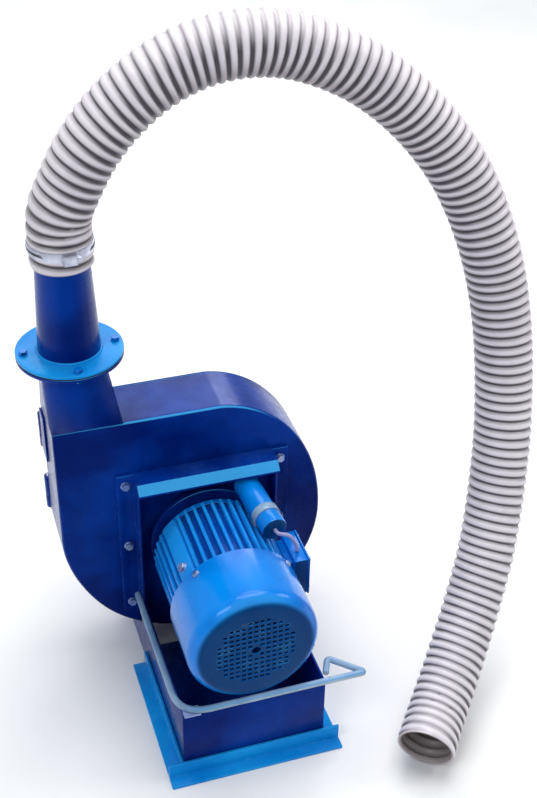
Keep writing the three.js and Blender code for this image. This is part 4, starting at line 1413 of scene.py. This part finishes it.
def makeBar():
    low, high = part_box("bar_handle")
    r = bar["radius"]
    left, front = low.x + r, low.y + r
    height = high.z - r
    tip = axis.x + bar["tip"]
    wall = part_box("base_right_wall")[1].x + r + 0.0003
    stops = [
        (left, casingFront + bar["rear"], 0),
        (left, front, bar["corner"]),
        (tip, front, bar["bend"]),
        (tip - bar["loopInset"], front + bar["loopBack"], bar["bend"]),
        (wall - 0.002, front + bar["returnBack"], 0),
    ]
    flat = spread(filleted(stops), 0.006)
    line = [(p.x, p.y, height) for p in flat]
    addPiece("bar_rod", rod(line, r, 24, None), barPaint, ["bar_handle"], angle=60)
    centre = (left + gusset["across"], front + gusset["back"], height - r + 0.0005)
    mesh = boxMesh(gusset["size"], centre, gusset["rounding"])
    addPiece("bar_gusset", mesh, zincPaint, angle=35)


makeBase()
makeBar()
print("base ready")


# hinges, knobs, feed
hinge = {"bolts": (0.014, 0.048), "strap": 0.0053}


def makeRear():
    for level in ("upper", "lower"):
        refined(f"{level}_hinge_strap", f"{level}_strap", casingPaint, 0.0008)
        refined(f"{level}_hinge_bracket", f"{level}_bracket", casingPaint, 0.0006)
        refined(f"{level}_hinge_pin", f"{level}_pin", zinc, 0.0006, 2)
    for number, level in ((1, "upper"), (2, "lower")):
        name = f"knob_{level}"
        refined(f"door_knob_{number}", name, black, 0.0022, 4, 50)
    refined("inlet_chute", "chute_shell", casingPaint, 0.0007, 2)
    refined("feed_hopper", "hopper_shell", casingPaint, 0.0007, 2)
    refined("slide_gate", "gate_plate", zinc, 0.0005, 2)

    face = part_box("rear_door")[1].y + hinge["strap"]
    places = []
    for level in ("upper", "lower"):
        low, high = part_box(f"{level}_hinge_strap")
        for x in (high.x - inset for inset in hinge["bolts"]):
            places.append((Vector((x, face, (low.z + high.z) / 2)), (0, 1, 0)))
    bolted("hinge_bolts", "hinge", places, zincPaint, 4, body="door")


makeRear()

# what stays as CAD gets its finish
finishes = {
    "screen_ring": steel,
    "front_bearing": zinc,
    "rear_bearing": zinc,
    "stator_core": iron,
    "rotor_core": iron,
    "motor_shaft": zinc,
    "cooling_fan": black,
    "blower_impeller": iron,
    "rotor_end_ring": iron,
}
for number in range(1, 5):
    finishes[f"hammer_{number}"] = iron
    finishes[f"hammer_pin_{number}"] = steel
for node, material in finishes.items():
    looks = frame["nodes"][node].data.materials
    looks.clear()
    looks.append(material)
print("finishes ready")

for template in templates:
    bpy.data.objects.remove(template)


# floor and light
lights = [  # name, place, target, width, watts, colour
    ("top", (0.5, 0.5, 3.0), (0.1, 0, 0.3), 2.4, 64, (1.0, 0.99, 0.97)),
    ("key", (-1.7, -1.5, 2.3), (0.1, 0, 0.35), 1.3, 20, (0.95, 0.98, 1.0)),
    ("side", (2.6, -0.5, 1.9), (0.1, 0, 0.4), 1.1, 15, (1.0, 0.98, 0.96)),
    ("back", (1.12, 1.87, 1.48), (0.05, 0, 0.38), 0.7, 7, (0.97, 0.98, 1.0)),
    ("far", (0.6, 4.2, 3.2), (0.6, 4.2, 0), 3.4, 64, (0.98, 0.99, 1.0)),
]
studio = {"colour": (0.90, 0.95, 1.0, 1), "strength": 0.46, "floor": 9}


def makeStage():
    f = studio["floor"]
    mesh = meshFrom("floor", [(-f, -f, 0), (f, -f, 0), (f, f, 0), (-f, f, 0)], [(0, 1, 2, 3)])
    floor = addObject("floor", mesh)
    material, tree, shader, where = newMaterial("pale_floor")
    tone = remap(tree, noise(tree, where, 3, 2), 0.3, 0.7)
    colour = mixed(tree, tone, (0.90, 0.90, 0.91, 1), (0.94, 0.94, 0.94, 1))
    plug(tree, shader, colour=colour, roughness=0.85, specular=0.1)
    mesh.materials.append(material)

    world = bpy.data.worlds.new("studio")
    scene.world = world
    world.use_nodes = True
    background = world.node_tree.nodes["Background"]
    background.inputs["Color"].default_value = studio["colour"]
    background.inputs["Strength"].default_value = studio["strength"]

    for name, place, target, size, power, colour in lights:
        data = bpy.data.lights.new(name, "AREA")
        data.shape = "DISK"
        data.size = size
        data.energy = power
        data.color = colour
        made = bpy.data.objects.new(name, data)
        scene.collection.objects.link(made)
        made.location = place
        way = Vector(target) - Vector(place)
        made.rotation_euler = way.to_track_quat("-Z", "Y").to_euler()


makeStage()
scene.view_settings.view_transform = "Standard"
print("stage ready")
